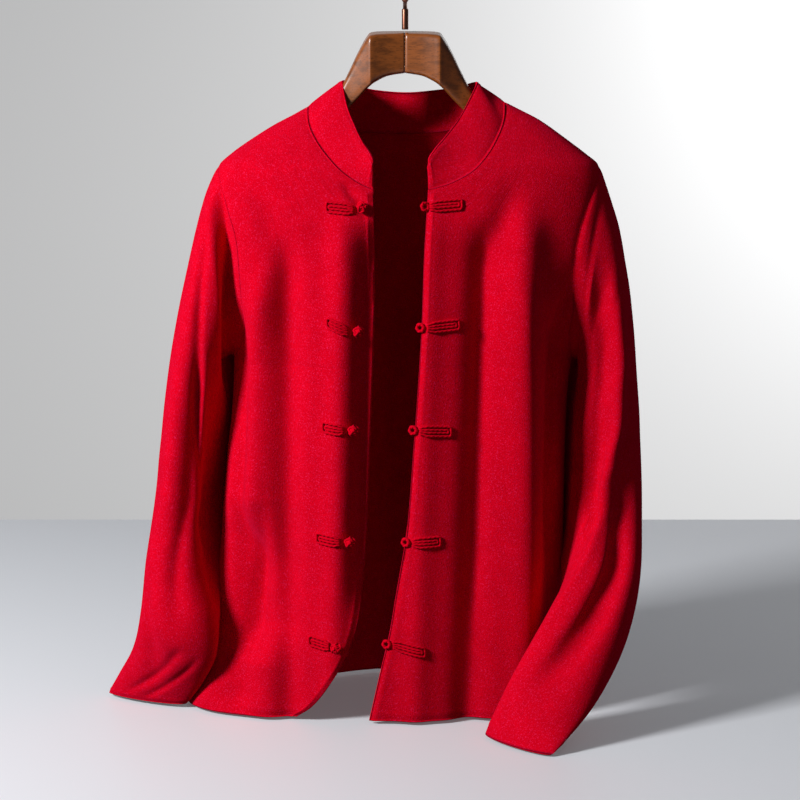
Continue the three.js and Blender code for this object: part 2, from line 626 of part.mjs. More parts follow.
// One half of the hanger: sections across it from the glue line to the tip.
function hangerHalf(side) {
  const shoulder = side < 0 ? girth.left : girth.right;
  const shoulderZ = (x) => {
    let z = NECK_POINT_Z;
    while (shoulder(z) < x) z -= 0.25;
    return z + tiltAt(side * x, z);
  };
  const arm = ARM.map(({ x, height, half, boxy }) => {
    const reach = side < 0 ? x : x * 1.02;
    const slope = shoulderZ(reach + 2) - shoulderZ(reach - 2);
    const top = shoulderZ(reach) - WALL * Math.hypot(1, slope / 4) - WOOD.clearance;
    return { x: reach, top, bottom: top - height, front: -half, back: half, boxy };
  });
  const stations = [...BLOCK, ...arm];
  stations[0] = { ...stations[0], x: WOOD.glueLine / 2 };
  const end = stations[stations.length - 1];
  const rings = stations.map((s) => Array.from({ length: WOOD.around }, (_, i) => {
    const turn = 2 * Math.PI * (i + 0.5) / WOOD.around;
    const c = Math.cos(turn);
    const k = Math.sin(turn);
    const half = (s.back - s.front) / 2;
    const rise = (s.top - s.bottom) / 2;
    return new THREE.Vector3(
      side * s.x,
      (s.front + s.back) / 2 + half * Math.sign(c) * Math.abs(c) ** (2 / s.boxy),
      (s.top + s.bottom) / 2 + rise * Math.sign(k) * Math.abs(k) ** (2 / s.boxy),
    );
  }));
  const middle = (s, x) => new THREE.Vector3(side * x, (s.front + s.back) / 2, (s.top + s.bottom) / 2);
  const points = [...rings.flat(), middle(stations[0], stations[0].x), middle(end, end.x + WOOD.tip)];
  const n = WOOD.around;
  const lastRing = (rings.length - 1) * n;
  const triangles = [];
  for (let i = 0; i < n; i += 1) {
    const next = (i + 1) % n;
    for (let r = 0; r < lastRing; r += n) {
      triangles.push([r + i, r + next, r + n + next], [r + i, r + n + next, r + n + i]);
    }
    triangles.push([points.length - 2, next, i]);
    triangles.push([points.length - 1, lastRing + i, lastRing + next]);
  }
  return solid(points, triangles);
}

// The hook: a stem on the block, a wire bent round the rail and a ball on its end.
class HookLine extends THREE.Curve {
  getPoint(t) {
    const radius = HOOK.innerRadius + HOOK.wire / 2;
    const centreZ = -HOOK.innerRadius;
    const foot = new THREE.Vector3(0, 0, HOOK.stemTop - HOOK.foot);
    const startTurn = degrees(HOOK.startTurn);
    const endTurn = degrees(HOOK.endTurn);
    const round = (turn) => new THREE.Vector3(
      0, radius * Math.cos(turn), centreZ + radius * Math.sin(turn),
    );
    const along = (t - HOOK.bendShare) / (1 - HOOK.bendShare);
    if (along > 0) return round(lerp(startTurn, endTurn, along));
    const bend = new THREE.CubicBezierCurve3(
      foot,
      foot.clone().add(new THREE.Vector3(0, 0, 9)),
      round(startTurn).add(new THREE.Vector3(0, -5, -7)),
      round(startTurn),
    );
    return bend.getPoint(t / HOOK.bendShare);
  }
}

function circle(radius, sides) {
  const shape = new THREE.Shape();
  for (let i = 0; i < sides; i += 1) {
    const turn = 2 * Math.PI * i / sides;
    const place = [radius * Math.cos(turn), radius * Math.sin(turn)];
    if (i === 0) shape.moveTo(...place);
    else shape.lineTo(...place);
  }
  shape.closePath();
  return shape;
}

function manifoldOf(geometry) {
  const bare = geometry.clone();
  bare.deleteAttribute('normal');
  bare.deleteAttribute('uv');
  const merged = mergeVertices(bare, 1e-4);
  return new wasm.Manifold(new wasm.Mesh({
    numProp: 3,
    vertProperties: new Float32Array(merged.attributes.position.array),
    triVerts: new Uint32Array(merged.index.array),
  }));
}

function joined(geometries) {
  const mesh = geometries.map(manifoldOf).reduce((sum, next) => sum.add(next)).getMesh();
  const geometry = new THREE.BufferGeometry();
  geometry.setAttribute('position', new THREE.BufferAttribute(mesh.vertProperties, 3));
  geometry.setIndex(new THREE.BufferAttribute(mesh.triVerts, 1));
  return geometry;
}

function hook() {
  const line = new HookLine();
  const wire = new THREE.ExtrudeGeometry(circle(HOOK.wire / 2, 8), {
    steps: 26, extrudePath: line, bevelEnabled: false,
  });
  const length = HOOK.stemTop - HOOK.stemFoot;
  const stem = new THREE.CylinderGeometry(HOOK.stemWidth / 2, HOOK.stemWidth / 2, length, 12)
    .rotateX(Math.PI / 2)
    .translate(0, 0, HOOK.stemFoot + length / 2);
  const ball = new THREE.SphereGeometry(HOOK.ballRadius, 10, 7)
    .translate(...line.getPoint(1).toArray());
  return joined([stem, wire, ball]);
}

const model = new THREE.Group();

function add(name, geometry, finish) {
  const mesh = new THREE.Mesh(geometry, new THREE.MeshStandardMaterial(COLOURS[finish]));
  mesh.name = name;
  model.add(mesh);
}

add('front_left', wall(fronts.left), 'cloth');
add('front_right', wall(fronts.right), 'cloth');
add('back', backPanel(), 'cloth');
add('sleeve_left', sleeve(-1, LEFT_SLEEVE, LEFT_SLEEVE_FOLDS), 'cloth');
add('sleeve_right', sleeve(1, RIGHT_SLEEVE, RIGHT_SLEEVE_FOLDS), 'cloth');
add('collar', collar(), 'cloth');
FROGS.forEach((frog, i) => {
  const knotSide = frog.knot - FROG.knotRadius - FROG.gap;
  const ringSide = frog.ring + FROG.ringOutside + FROG.gap;
  add(`frog_${i + 1}_strap_left`, frogStrap(frog.leftEnd, frog.leftZ, knotSide, frog.knotZ), 'cord');
  add(`frog_${i + 1}_knot`, frogKnot(frog.knot, frog.knotZ), 'cord');
  add(`frog_${i + 1}_ring`, frogRing(frog.ring, frog.ringZ), 'cord');
  add(`frog_${i + 1}_strap_right`, frogStrap(ringSide, frog.ringZ, frog.rightEnd, frog.rightZ), 'cord');
});
add('hanger_left', hangerHalf(-1), 'wood');
add('hanger_right', hangerHalf(1), 'wood');
add('hook', hook(), 'brass');

export default model;
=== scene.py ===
"""Mandarin collar cardigan in felted wool on a wooden hanger.

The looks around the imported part. The forms follow the part's own named values, in
millimetres with +Z up and the front facing -Y, and each mesh is made in metres.
"""

import math

import bpy
import numpy as np
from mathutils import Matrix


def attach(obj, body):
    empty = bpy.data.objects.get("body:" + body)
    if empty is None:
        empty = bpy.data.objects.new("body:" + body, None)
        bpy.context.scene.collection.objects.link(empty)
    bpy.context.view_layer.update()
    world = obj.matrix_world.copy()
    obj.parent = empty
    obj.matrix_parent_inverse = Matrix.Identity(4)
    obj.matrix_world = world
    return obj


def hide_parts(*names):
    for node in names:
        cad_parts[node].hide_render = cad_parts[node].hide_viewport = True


bl_info = {
    "name": "Mandarin collar cardigan",
    "version": (1, 0, 0),
    "blender": (4, 5, 0),
    "location": "3D View > Sidebar > Cardigan",
    "description": "Builds a felted wool cardigan with frog fastenings on a wooden hanger",
    "category": "Object",
}

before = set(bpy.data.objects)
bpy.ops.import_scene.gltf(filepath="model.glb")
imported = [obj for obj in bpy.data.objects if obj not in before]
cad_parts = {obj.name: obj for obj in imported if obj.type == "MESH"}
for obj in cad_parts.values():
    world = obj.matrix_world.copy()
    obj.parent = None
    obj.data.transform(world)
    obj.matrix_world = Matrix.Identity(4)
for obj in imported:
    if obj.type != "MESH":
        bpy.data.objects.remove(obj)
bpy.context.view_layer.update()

MM = 0.001

# Cloth
WALL = 2.4
SEAM_GAP = 0.06
ROUNDNESS = 2.4
HEM_Z = -796.0
NECK_POINT_Z = -143.5
NECK_FRONT_Z = -231.0
ARMHOLE_Z = -312.0
ARMHOLE_HALF = 103.0
FRONT_REACH = 54.0
BACK_REACH = 50.0
NECK_FADE = 8.0
NECK_SPREAD = 1.25
NECK_TILT = 2.5
TILT_FROM_Z = -200.0
TILT_WIDTH = 105.0
FOLD_FADE = 60.0
SIDE_CALM = 0.45

# Rows of a panel: the yoke, the armhole and the skirt, as the part counts them
AROUND_ARM = 24
YOKE_ROWS = 4
ARMHOLE_ROWS = 12
SKIRT_ROWS = 13
SHOULDER_COLUMNS = 5
FRONT_NECK_COLUMNS = 8
BACK_NECK_COLUMNS = 12

# Lengths that set how many points a panel has: down its three parts and across them
PANEL_DROPS = (118, 155, 381)
SHOULDER_WIDTH = 92
FRONT_WIDTH = 122
BACK_SIDE_WIDTH = 105
BACK_MIDDLE_WIDTH = 250

# Girth: height, then how far the body reaches left, right, front and back
GIRTH = (
    (-130, 84, 84, 1, 2), (-143.5, 104, 106, 5, 11), (-152, 119, 122, 15, 28),
    (-162, 138, 142, 22, 45), (-180, 165, 170, 40, 59), (-196, 186, 193, 54, 63),
    (-207, 198, 206, 63, 65), (-222, 205, 212, 70, 67), (-240, 210, 215, 75, 69),
    (-264, 213, 217, 79, 71), (-299, 213, 216, 82, 74), (-350, 202, 205, 86, 79),
    (-390, 189, 187, 88, 83), (-415, 185, 180, 89, 85), (-462, 187, 175.5, 91, 89),
    (-517, 193, 174, 93, 93), (-573, 198, 173.5, 94, 97), (-629, 203, 173.5, 94, 100),
    (-655, 206.5, 174, 94, 102), (-686, 212, 175, 94, 103), (-740, 220, 178, 92, 106),
    (-765, 228, 181, 91, 107), (-796, 241, 184, 90, 108),
)

# Front edges: height and where the front ends
LEFT_EDGE = (
    (-225, -33), (-303, -32), (-365, -33), (-449, -36), (-530, -39), (-601, -42),
    (-655, -46), (-680, -49), (-706, -55), (-727, -63), (-754, -79), (-781, -99), (-796, -118),
)
RIGHT_EDGE = (
    (-225, 24), (-302, 19), (-364, 17), (-449, 12), (-504, 8), (-582, 2), (-627, -5),
    (-662, -11), (-696, -16.5), (-742, -27), (-796, -39),
)

# Neckline: left front, right front and height, then the back's place and height
FRONT_NECK = (
    (-104, 106, NECK_POINT_Z), (-102, 104, -163), (-93, 95, -182), (-81, 84, -198),
    (-66, 69, -213), (-48, 46, -225), (-33, 24, NECK_FRONT_Z),
)
BACK_NECK = (
    (-104, NECK_POINT_Z), (-98, -152), (-85, -161), (-60, -169), (-30, -173), (0, -174),
    (30, -173), (60, -169), (86, -160), (100, -151), (106, NECK_POINT_Z),
)

# Top edge of the collar: share of the neckline and the point
COLLAR_TOP = (
    (0.0, -33, -70.5, -209), (0.012, -33.5, -69, -201), (0.035, -36.5, -64, -193),
    (0.07, -44, -52, -182), (0.115, -53, -34, -164), (0.165, -62, -17, -141),
    (0.22, -66.5, 0, -118), (0.28, -64, 21, -117), (0.34, -55, 40, -122),
    (0.41, -34, 55, -128), (0.5, 1, 61, -131), (0.59, 36, 55, -128), (0.66, 61, 40, -124),
    (0.72, 73, 21, -119.5), (0.78, 77, 0, -119), (0.835, 68, -14, -137),
    (0.885, 56, -28, -158), (0.93, 42, -45, -176), (0.965, 30, -60, -190),
    (0.988, 25, -67, -199), (1.0, 24, -70, -208),
)
COLLAR_BOW = 0.8
COLLAR_FRONT = 130
COLLAR_BACK = 235
COLLAR_LENGTH = 480
COLLAR_BAND = 5.0
COLLAR_ROWS = 19

# Folds: the first and the last place, half width and depth out of the body
FRONT_FOLDS = (
    (-150, -300, -166, -640, 15, 9), (-120, -270, -126, -860, 15, -9),
    (-64, -230, -78, -860, 16, 8), (-32, -250, -46, -700, 14, -11),
    (-178, -560, -186, -830, 22, -20), (-158, -215, -120, -330, 16, -5),
    (84, -250, 66, -860, 18, -11), (124, -230, 128, -860, 20, 11),
    (28, -230, 8, -860, 15, 5), (162, -330, 160, -760, 14, -8),
    (118, -205, 86, -330, 15, -5),
)
BACK_FOLDS = (
    (-118, -230, -138, -860, 20, 9), (-70, -260, -84, -860, 18, -8),
    (-20, -330, -28, -860, 22, 7), (40, -280, 34, -860, 20, -8),
    (88, -230, 104, -860, 18, 9), (140, -420, 150, -860, 15, -7),
    (-160, -520, -180, -860, 16, -8),
)

# Sleeve rings: the outer point, the inner point, half depth, dish and slant
LEFT_SLEEVE = (
    (-200, 0, -209, -185, 0, -415, 54, 15, 0), (-206, 0, -221, -189, 0, -416.5, 55, 10, 0),
    (-214, 0, -241, -190.5, 0, -420, 57, 8, 2), (-222.5, 0, -273, -191, 0, -428, 59, 9, 6),
    (-231, 0, -313, -191, 0, -441, 60, 11, 11), (-240, 0, -357, -191.5, 0, -460, 60, 13, 15),
    (-248.5, 0, -404, -194, 0, -485, 60, 14, 17), (-255.5, 0, -453, -197, 0, -514, 58, 14, 18),
    (-261.5, 0, -503, -200.5, 0, -545, 57, 14, 18), (-267, 0, -552, -204, -3, -580, 55.5, 13, 17),
    (-272.5, -5, -600, -207.5, -18, -615, 48.5, 10, 12),
    (-279, -12, -645, -210, -40, -653, 39, 5, 5), (-286, -18, -694, -205, -58, -694, 32, 0, 0),
    (-298, -8, -735, -205, -56, -732, 25, 0, 0),
    (-316, 6, -768, -220, -42, -766, 18, 0, 0), (-332, 19, HEM_Z, -240, -28, HEM_Z, 12, 0, 0),
)
RIGHT_SLEEVE = (
    (208, 0, -209, 182, 0, -415, 54, 15, 0), (212, 0, -220, 186, 0, -416.5, 55, 10, 0),
    (219, 0, -241, 187, 0, -420, 57, 8, 2), (228.5, 0, -273, 186.5, 0, -428, 59, 9, 6),
    (235, 0, -313, 185, 0, -441, 60, 11, 11), (241.5, 0, -357, 182.5, 0, -460, 60, 13, 15),
    (246.5, -3, -404, 180, 0, -485, 60, 14, 19), (250.5, -10, -453, 178.5, 0, -514, 58, 15, 21),
    (253.5, -17, -503, 177.5, 0, -547, 56, 16, 23), (255, -30, -550, 176.5, -7, -582, 55, 16, 25),
    (253.5, -47, -597, 175.5, -33, -613, 51, 13, 20), (250, -67, -642, 171, -72, -641, 44, 4, 6),
    (240, -92, -685, 153, -98, -669, 39, 0, 0), (222, -122, -723, 133, -111, -701, 33, 0, 0),
    (192, -160, -760, 112, -119, -738, 25, 0, 0), (151, -196, HEM_Z, 84, -128, HEM_Z, 13, 0, 0),
)

# Folds of the sleeves: turn and share at each end, half width and depth
LEFT_SLEEVE_FOLDS = (
    (96, 0.3, 112, 0.84, 17, -6), (58, 0.2, 66, 0.7, 18, 5), (255, 0.25, 262, 0.85, 20, -9),
    (40, 0.72, 100, 0.98, 16, -4), (305, 0.3, 300, 0.9, 20, 5),
)
RIGHT_SLEEVE_FOLDS = (
    (92, 0.12, 108, 0.74, 24, -8), (66, 0.2, 80, 0.72, 18, 5), (60, 0.62, 110, 0.96, 16, -6),
    (262, 0.25, 255, 0.85, 20, -9), (300, 0.3, 305, 0.9, 20, 5),
)
SLEEVE_FOLD_FADE = 0.1
CUFF_LEVEL = 0.8
AXIS_STEP = 0.02
CAP_BLEND = 0.07
SEAM_BLEND = 0.012
SLEEVE_ROUND = 320
SLEEVE_LENGTH = 620

# Creases that only the looks have. Each is a line of points: height (or the share of a
# sleeve), place across (or turn), half widths before and after it, and depth.
FRONT_CREASES = (
    ((-300, -40, 9, 5, 0), (-360, -41, 9, 5, -3), (-560, -46, 9, 5, -3), (-640, -52, 9, 5, 0)),
    ((-540, -150, 12, 9, 0), (-620, -160, 12, 9, -5), (-700, -176, 14, 12, 0)),
    ((-270, -126, 10, 12, 0), (-340, -129, 10, 12, -4), (-600, -131, 11, 12, -4),
     (-700, -133, 12, 12, 0)),
    ((-560, -168, 14, 34, 0), (-600, -166, 14, 38, -8), (-640, -163, 15, 40, -16),
     (-690, -163, 16, 40, -19), (-716, -167, 18, 34, -10), (-740, -172, 18, 30, 0)),
    ((-300, 118, 20, 14, 0), (-380, 121, 22, 15, 6), (-600, 124, 22, 15, 6),
     (-720, 124, 20, 14, 0)),
    ((-712, -182, 22, 22, 0), (-745, -184, 22, 22, 8), (-796, -186, 22, 22, 10)),
    ((-222, -64, 6, 8, 0), (-236, -56, 6, 8, -4), (-250, -46, 6, 8, -4), (-264, -40, 6, 6, 0)),
    ((-262, -196, 9, 11, 0), (-330, -188, 9, 12, -9), (-420, -178, 9, 12, -12),
     (-540, -180, 9, 12, -10), (-620, -186, 10, 12, 0)),
    ((-300, 176, 12, 8, 0), (-400, 166, 12, 8, -8), (-560, 162, 12, 8, -8), (-640, 164, 12, 8, 0)),
    ((-260, 84, 9, 8, 0), (-350, 83, 9, 8, -3), (-600, 78, 9, 8, -3), (-720, 72, 10, 8, 0)),
)
BACK_CREASES = (
    ((-250, -140, 9, 7, 0), (-330, -120, 9, 7, -3), (-420, -112, 8, 8, 0)),
    ((-260, 150, 7, 9, 0), (-340, 128, 7, 9, -3), (-430, 118, 8, 8, 0)),
    ((-420, 60, 10, 8, 0), (-520, 62, 10, 8, -3), (-680, 58, 10, 8, 0)),
)
LEFT_SLEEVE_CREASES = (
    ((0.22, 122, 14, 14, 0), (0.37, 138, 20, 26, -5), (0.47, 152, 22, 28, -8),
     (0.56, 159, 22, 28, -11), (0.63, 163, 22, 22, -13), (0.7, 182, 20, 18, -8),
     (0.78, 196, 14, 12, 0)),
    ((0.14, 46, 12, 10, 0), (0.18, 54, 12, 10, -4), (0.29, 81, 12, 10, -4), (0.46, 112, 12, 10, -5),
     (0.56, 132, 12, 10, 0)),
    ((0.08, 170, 22, 20, 0), (0.16, 172, 22, 20, -5), (0.26, 178, 18, 18, -4),
     (0.36, 184, 14, 16, 0)),
    ((0.84, 112, 9, 7, 0), (0.87, 104, 9, 7, -2.5), (0.93, 85, 9, 7, -2.5), (0.985, 62, 9, 7, 0)),
    ((0.86, 140, 9, 7, 0), (0.9, 128, 8, 7, -2), (0.96, 105, 8, 7, -2), (0.995, 90, 8, 7, 0)),
    ((0.3, 252, 14, 10, 0), (0.5, 246, 14, 10, -4), (0.7, 240, 14, 10, 0)),
    ((0.78, 300, 10, 8, 0), (0.84, 285, 10, 8, -3), (0.92, 262, 10, 8, 0)),
    ((0.5, 216, 16, 20, 0), (0.66, 216, 16, 20, 4), (0.76, 216, 16, 20, 4), (0.86, 216, 16, 20, 0)),
)
RIGHT_SLEEVE_CREASES = (
    ((0.06, 140, 20, 16, 0), (0.12, 152, 20, 15, 3), (0.34, 157, 18, 14, 4), (0.5, 146, 16, 14, 3),
     (0.66, 146, 14, 12, 0)),
    ((0.04, 62, 26, 26, 0), (0.1, 66, 28, 30, -4), (0.18, 76, 28, 30, -4), (0.26, 84, 26, 28, -3),
     (0.43, 86, 22, 24, -3), (0.52, 90, 18, 20, -4), (0.65, 106, 15, 15, -5),
     (0.71, 140, 12, 12, 0)),
    ((0.27, 62, 11, 9, 0), (0.36, 62, 10, 9, 4), (0.44, 64, 10, 9, 6), (0.52, 72, 10, 9, 6),
     (0.65, 87, 10, 9, 6), (0.71, 118, 11, 10, 5), (0.77, 145, 11, 10, 4), (0.9, 160, 10, 10, 0)),
    ((0.56, 50, 20, 16, 0), (0.63, 54, 20, 18, -6), (0.73, 76, 24, 26, -11), (0.8, 90, 24, 30, -12),
     (0.87, 90, 24, 30, -9), (0.96, 84, 22, 28, 0)),
    ((0.3, 252, 14, 10, 0), (0.5, 250, 14, 10, -4), (0.7, 262, 14, 10, 0)),
    ((0.76, 300, 10, 8, 0), (0.84, 284, 10, 8, -3), (0.92, 270, 10, 8, 0)),
    ((0.4, 216, 16, 20, 0), (0.56, 216, 16, 20, 4), (0.7, 216, 16, 20, 4), (0.82, 216, 16, 20, 0)),
)

# Grooves beside the armholes, each a line of points: turn, share, half widths and depth
LEFT_ARMHOLE_GROOVES = (
    ((34, 0.05, 0.035, 0.04, 0), (50, 0.062, 0.04, 0.045, -11), (70, 0.06, 0.038, 0.045, -19),
     (90, 0.058, 0.036, 0.045, -24), (114, 0.058, 0.036, 0.05, -25), (150, 0.08, 0.05, 0.08, -20),
     (180, 0.12, 0.09, 0.12, -8), (196, 0.15, 0.12, 0.14, 0)),
)
RIGHT_ARMHOLE_GROOVES = (
    ((200, 0.1, 0.06, 0.08, 0), (240, 0.08, 0.05, 0.08, -5), (300, 0.08, 0.05, 0.08, -5),
     (330, 0.08, 0.05, 0.06, 0)),
)

# Turned edges of the fronts, the collar and the hem, back from a stitched line
BAND = 6.5
EDGE_FALL = 2.6
EDGE_POWER = 1.3
COLLAR_FALL = 1.0
HEM_BAND = 9.0
HEM_FALL = 0.9
STITCH_RISE = 0.45
STITCH_WIDTH = 1.1

# Rounding of a cloth's border at a seam and where it is free
SEAM_ROUND = 0.15
FREE_ROUND = 1.1
BORDER_TURNS = (55, 15, -15, -55)
BORDER_SHIFT = 0.3
SEAM_DEPTH = 0.55
SEAM_REACH = 4.0

# Frogs from the top: outer end, knot and their heights, ring, outer end and their heights
FROGS = (
    (-83, -249, -47, -252, 19.5, -249, 60, -246), (-82, -367, -53, -377, 16.5, -373, 57, -370),
    (-87, -477, -58, -480, 9, -480, 49, -482), (-94, -595, -62, -598, 1.5, -599, 38, -598),
    (-103, -707, -73, -711, -19, -710, 22, -718),
)
STRAP_HEIGHT = 13.0
STRAP_CORNER = 2.4
CORD_STEP = 0.9
CORD_END = 0.45
CORD_PRESS = 0.1
STRAP_PINCH = 0.35
PINCH_RATE = 3.5
KNOT_RADIUS = 6.3
KNOT_POINTS = 150
KNOT_SWING = 60.0
KNOT_WEAVE = 0.45
RING_OUTSIDE = 5.6
RING_POINTS = 44
RING_CORD = 2.0
KNOT_PITCH = 4.0
FROG_LIFT = 0.8
RING_LIFT = 0.4
FROG_GAP = 0.3

# Hanger: place, top, bottom, front, back and how boxy the section is
BLOCK = (
    (0, -66, -111, -12, 15, 9), (18, -66, -114, -15.5, 16, 9), (30, -66.3, -119.5, -19, 16, 9),
    (35.5, -67, -123, -20.8, 16, 9), (36.5, -67.3, -124, -21, 16, 9),
    (37.5, -67.7, -124.7, -20.6, 16, 9), (41, -72, -128, -18.5, 15, 8),
    (50, -88, -138, -13.5, 12, 6), (60, -109, -148, -9, 9, 4.5),
    (70, -127.5, -158, -6.5, 7, 3), (86, -142, -169, -5, 7, 2),
)

# How far the top slopes back beside the hook, then the arm: place, height, half, how boxy
TOP_SLOPE = 0.15
SLOPE_DEPTH = 16.0
SLOPE_END = 92.0
SLOPE_FADE = 30.0
ARM = (
    (104, 29, 4.6, 2), (124, 29, 6.4, 2), (146, 28, 9, 2), (166, 26, 11, 2), (180, 22, 11, 2),
    (188, 14, 9, 2),
)
WOOD_CLEARANCE = 0.9
GLUE_LINE = 0.1
ARM_TIP = 3.0
RIGHT_ARM_STRETCH = 1.02
HANGER_SIDES = 72
HANGER_STEPS = ((30, 8), (35, 8), (38, 6), (42, 12), (62, 14), (104, 30))

# Hook
HOOK_RADIUS = 22.3
HOOK_CENTRE_Z = -20.0
WIRE = 4.6
STEM_WIDTH = 7.0
STEM_FOOT = -65.6
STEM_TOP = -44.0
HOOK_TURNS = (-40.0, 222.0)
HOOK_SINK = 6.0
HOOK_POINTS = 120
BEND_SHARE = 0.2
BEND_PULLS = ((0, 0, 9), (0, -5, -7))
BALL_RADIUS = 3.6

# Camera and stage
CAMERA_PLACE = (-0.0054, -2.151, -0.1405)
CAMERA_TILT = 81.5
LENS = 90.0
FLOOR_Z = -0.7995
FLOOR_END_Y = 0.97
WALL_Y = 2.6

# Floor and wall: colour, roughness and glow
FLOOR_LOOK = ((0.7, 0.72, 0.76), 0.5, 0.13)
WALL_LOOK = ((0.5, 0.5, 0.5), 0.9, 0.5)

# Lights: name, place, aim, size, power and spread. Then the air's colour and strength.
LIGHTS = (
    ("key", (-1.9, -1.3, 0.7), (0, 0, -0.45), 0.5, 84, 180.0),
    ("wall_light", (2.0, 0.82, 1.44), (1.37, WALL_Y, -0.08), 0.76, 34, 80.0),
)
AIR = ((0.9, 0.93, 1.0, 1.0), 0.09)


class CardiganSettings(bpy.types.PropertyGroup):
    """Sizes and colours of the cardigan that a user would change."""

    spacing: bpy.props.FloatProperty(
        name="Mesh spacing", description="Distance between the points of the cloth meshes",
        default=2.8 * MM, min=2 * MM, max=12 * MM, unit="LENGTH",
    )
    crease_depth: bpy.props.FloatProperty(
        name="Crease depth", description="How deep the small creases are, as a factor",
        default=1.0, min=0.0, max=2.0,
    )
    cord_width: bpy.props.FloatProperty(
        name="Cord width", description="Thickness of the cord that the frogs are made of",
        default=2.9 * MM, min=2 * MM, max=4 * MM, unit="LENGTH",
    )
    grain: bpy.props.FloatProperty(
        name="Wool grain", description="Size of the felted knit cells",
        default=1.2 * MM, min=0.5 * MM, max=6 * MM, unit="LENGTH",
    )
    cloth_colour: bpy.props.FloatVectorProperty(
        name="Cloth", description="Colour of the wool", subtype="COLOR", size=3,
        min=0, max=1, default=(0.68, 0.0006, 0.012),
    )
    cord_colour: bpy.props.FloatVectorProperty(
        name="Cord", description="Colour of the frog cords", subtype="COLOR", size=3,
        min=0, max=1, default=(0.68, 0.0006, 0.012),
    )
    wood_colour: bpy.props.FloatVectorProperty(
        name="Wood", description="Colour of the hanger", subtype="COLOR", size=3,
        min=0, max=1, default=(0.21, 0.056, 0.009),
    )
    metal_colour: bpy.props.FloatVectorProperty(
        name="Hook", description="Colour of the hook's metal", subtype="COLOR", size=3,
        min=0, max=1, default=(0.2, 0.085, 0.055),
    )


def lerp(a, b, t):
    """Returns the straight blend from a to b at the share t."""
    return a + (b - a) * t


def ease(t):
    """Returns a share that starts and ends gently: three squares less two cubes."""
    t = np.clip(t, 0, 1)
    return t * t * (3 - 2 * t)


def unit(vectors):
    """Returns the vectors at length one."""
    return vectors / np.linalg.norm(vectors, axis=-1, keepdims=True)


def turns(count):
    """Returns a number of even turns round a circle, from nought."""
    return np.linspace(0, 2 * math.pi, count, endpoint=False)


def lengths(points):
    """Returns how far each point lies along the line through all of them."""
    return np.append(0, np.cumsum(np.linalg.norm(np.diff(points, axis=0), axis=1)))


def steps(points, goes_round, axis=0):
    """Returns the step past each point of a line or grid, along one of its axes."""
    if goes_round:
        return np.roll(points, -1, axis=axis) - np.roll(points, 1, axis=axis)
    return np.gradient(points, axis=axis)


def through(table, key, value):
    """Returns a function through one column of a table against another, with no overshoot.

    Each stretch between two rows is a cubic. Its slope at a row is the harmonic mean of the
    straight slopes on both sides, or nought where they differ in sign.
    """
    rows = np.array(sorted(table, key=lambda row: row[key]), float)
    at, height = rows[:, key], rows[:, value]
    secant = np.diff(height) / np.diff(at)
    before = np.append(secant[:1], secant)
    after = np.append(secant, secant[-1:])
    same = before * after > 0
    slope = np.where(same, 2 * before * after / np.where(same, before + after, 1), 0)

    def value_at(place):
        p = np.clip(place, at[0], at[-1])
        i = np.clip(np.searchsorted(at, p) - 1, 0, len(at) - 2)
        span = at[i + 1] - at[i]
        t = (p - at[i]) / span
        return (
            (1 + 2 * t) * (1 - t) ** 2 * height[i]
            + t * t * (3 - 2 * t) * height[i + 1]
            + t * (1 - t) ** 2 * span * slope[i]
            + t * t * (t - 1) * span * slope[i + 1]
        )

    return value_at


left_reach, right_reach, front_reach, back_reach = (through(GIRTH, 0, i) for i in (1, 2, 3, 4))
left_edge = through(LEFT_EDGE, 0, 1)
right_edge = through(RIGHT_EDGE, 0, 1)


def fold_height(folds, across, along, fade):
    """Returns the sum of the folds: bell curves across straight lines, eased at both ends."""
    height = np.zeros(np.broadcast(across, along).shape)
    for start, first, end, last, width, depth in folds:
        t = (along - first) / (last - first)
        away = (across - lerp(start, end, t)) / width
        length = abs(last - first)
        ends = ease(t * length / fade) * ease((1 - t) * length / fade)
        height += depth * np.exp(-away * away) * ends
    return height


def crease_height(creases, across, along, scale):
    """Returns the sum of the creases: bell curves across a line through named points."""
    height = np.zeros(np.broadcast(across, along).shape)
    for points in creases:
        centre, before, after, depth = (through(points, 0, i) for i in (1, 2, 3, 4))
        away = across - centre(along)
        width = np.where(away < 0, before(along), after(along))
        height += scale * depth(along) * np.exp(-((away / width) ** 2))
    return height


def edge_turn(away, width, fall):
    """Returns the fall of a turned edge: a fine ridge at its stitches, then down to the edge."""
    ridge = STITCH_RISE * np.exp(-(((away - width) / STITCH_WIDTH) ** 2))
    return ridge - fall * np.clip(1 - away / width, 0, 1) ** EDGE_POWER


def front_relief(x, z):
    """Returns how far the fronts stand out: folds, creases and their turned edges."""
    height = fold_height(FRONT_FOLDS, x, z, FOLD_FADE)
    height += crease_height(FRONT_CREASES, x, z, bpy.context.scene.cardigan.crease_depth)
    below_neck = ease((NECK_FRONT_Z - z) / NECK_FADE)
    for away in (left_edge(z) - x, x - right_edge(z)):
        near = (away > -4) & (away < 4 * BAND)
        height += edge_turn(np.maximum(away, 0), BAND, EDGE_FALL) * below_neck * near
    return height + edge_turn(z - HEM_Z, HEM_BAND, HEM_FALL)


def back_relief(x, z):
    """Returns how far the back stands out: its folds and creases."""
    scale = bpy.context.scene.cardigan.crease_depth
    height = fold_height(BACK_FOLDS, x, z, FOLD_FADE) + crease_height(BACK_CREASES, x, z, scale)
    return height + edge_turn(z - HEM_Z, HEM_BAND, HEM_FALL)


def tilt_at(x, z):
    """Returns the tip of the shoulders: a rise to the right that fades in above the chest."""
    return NECK_TILT * (x / TILT_WIDTH) * ease((z - TILT_FROM_Z) / (NECK_POINT_Z - TILT_FROM_Z))


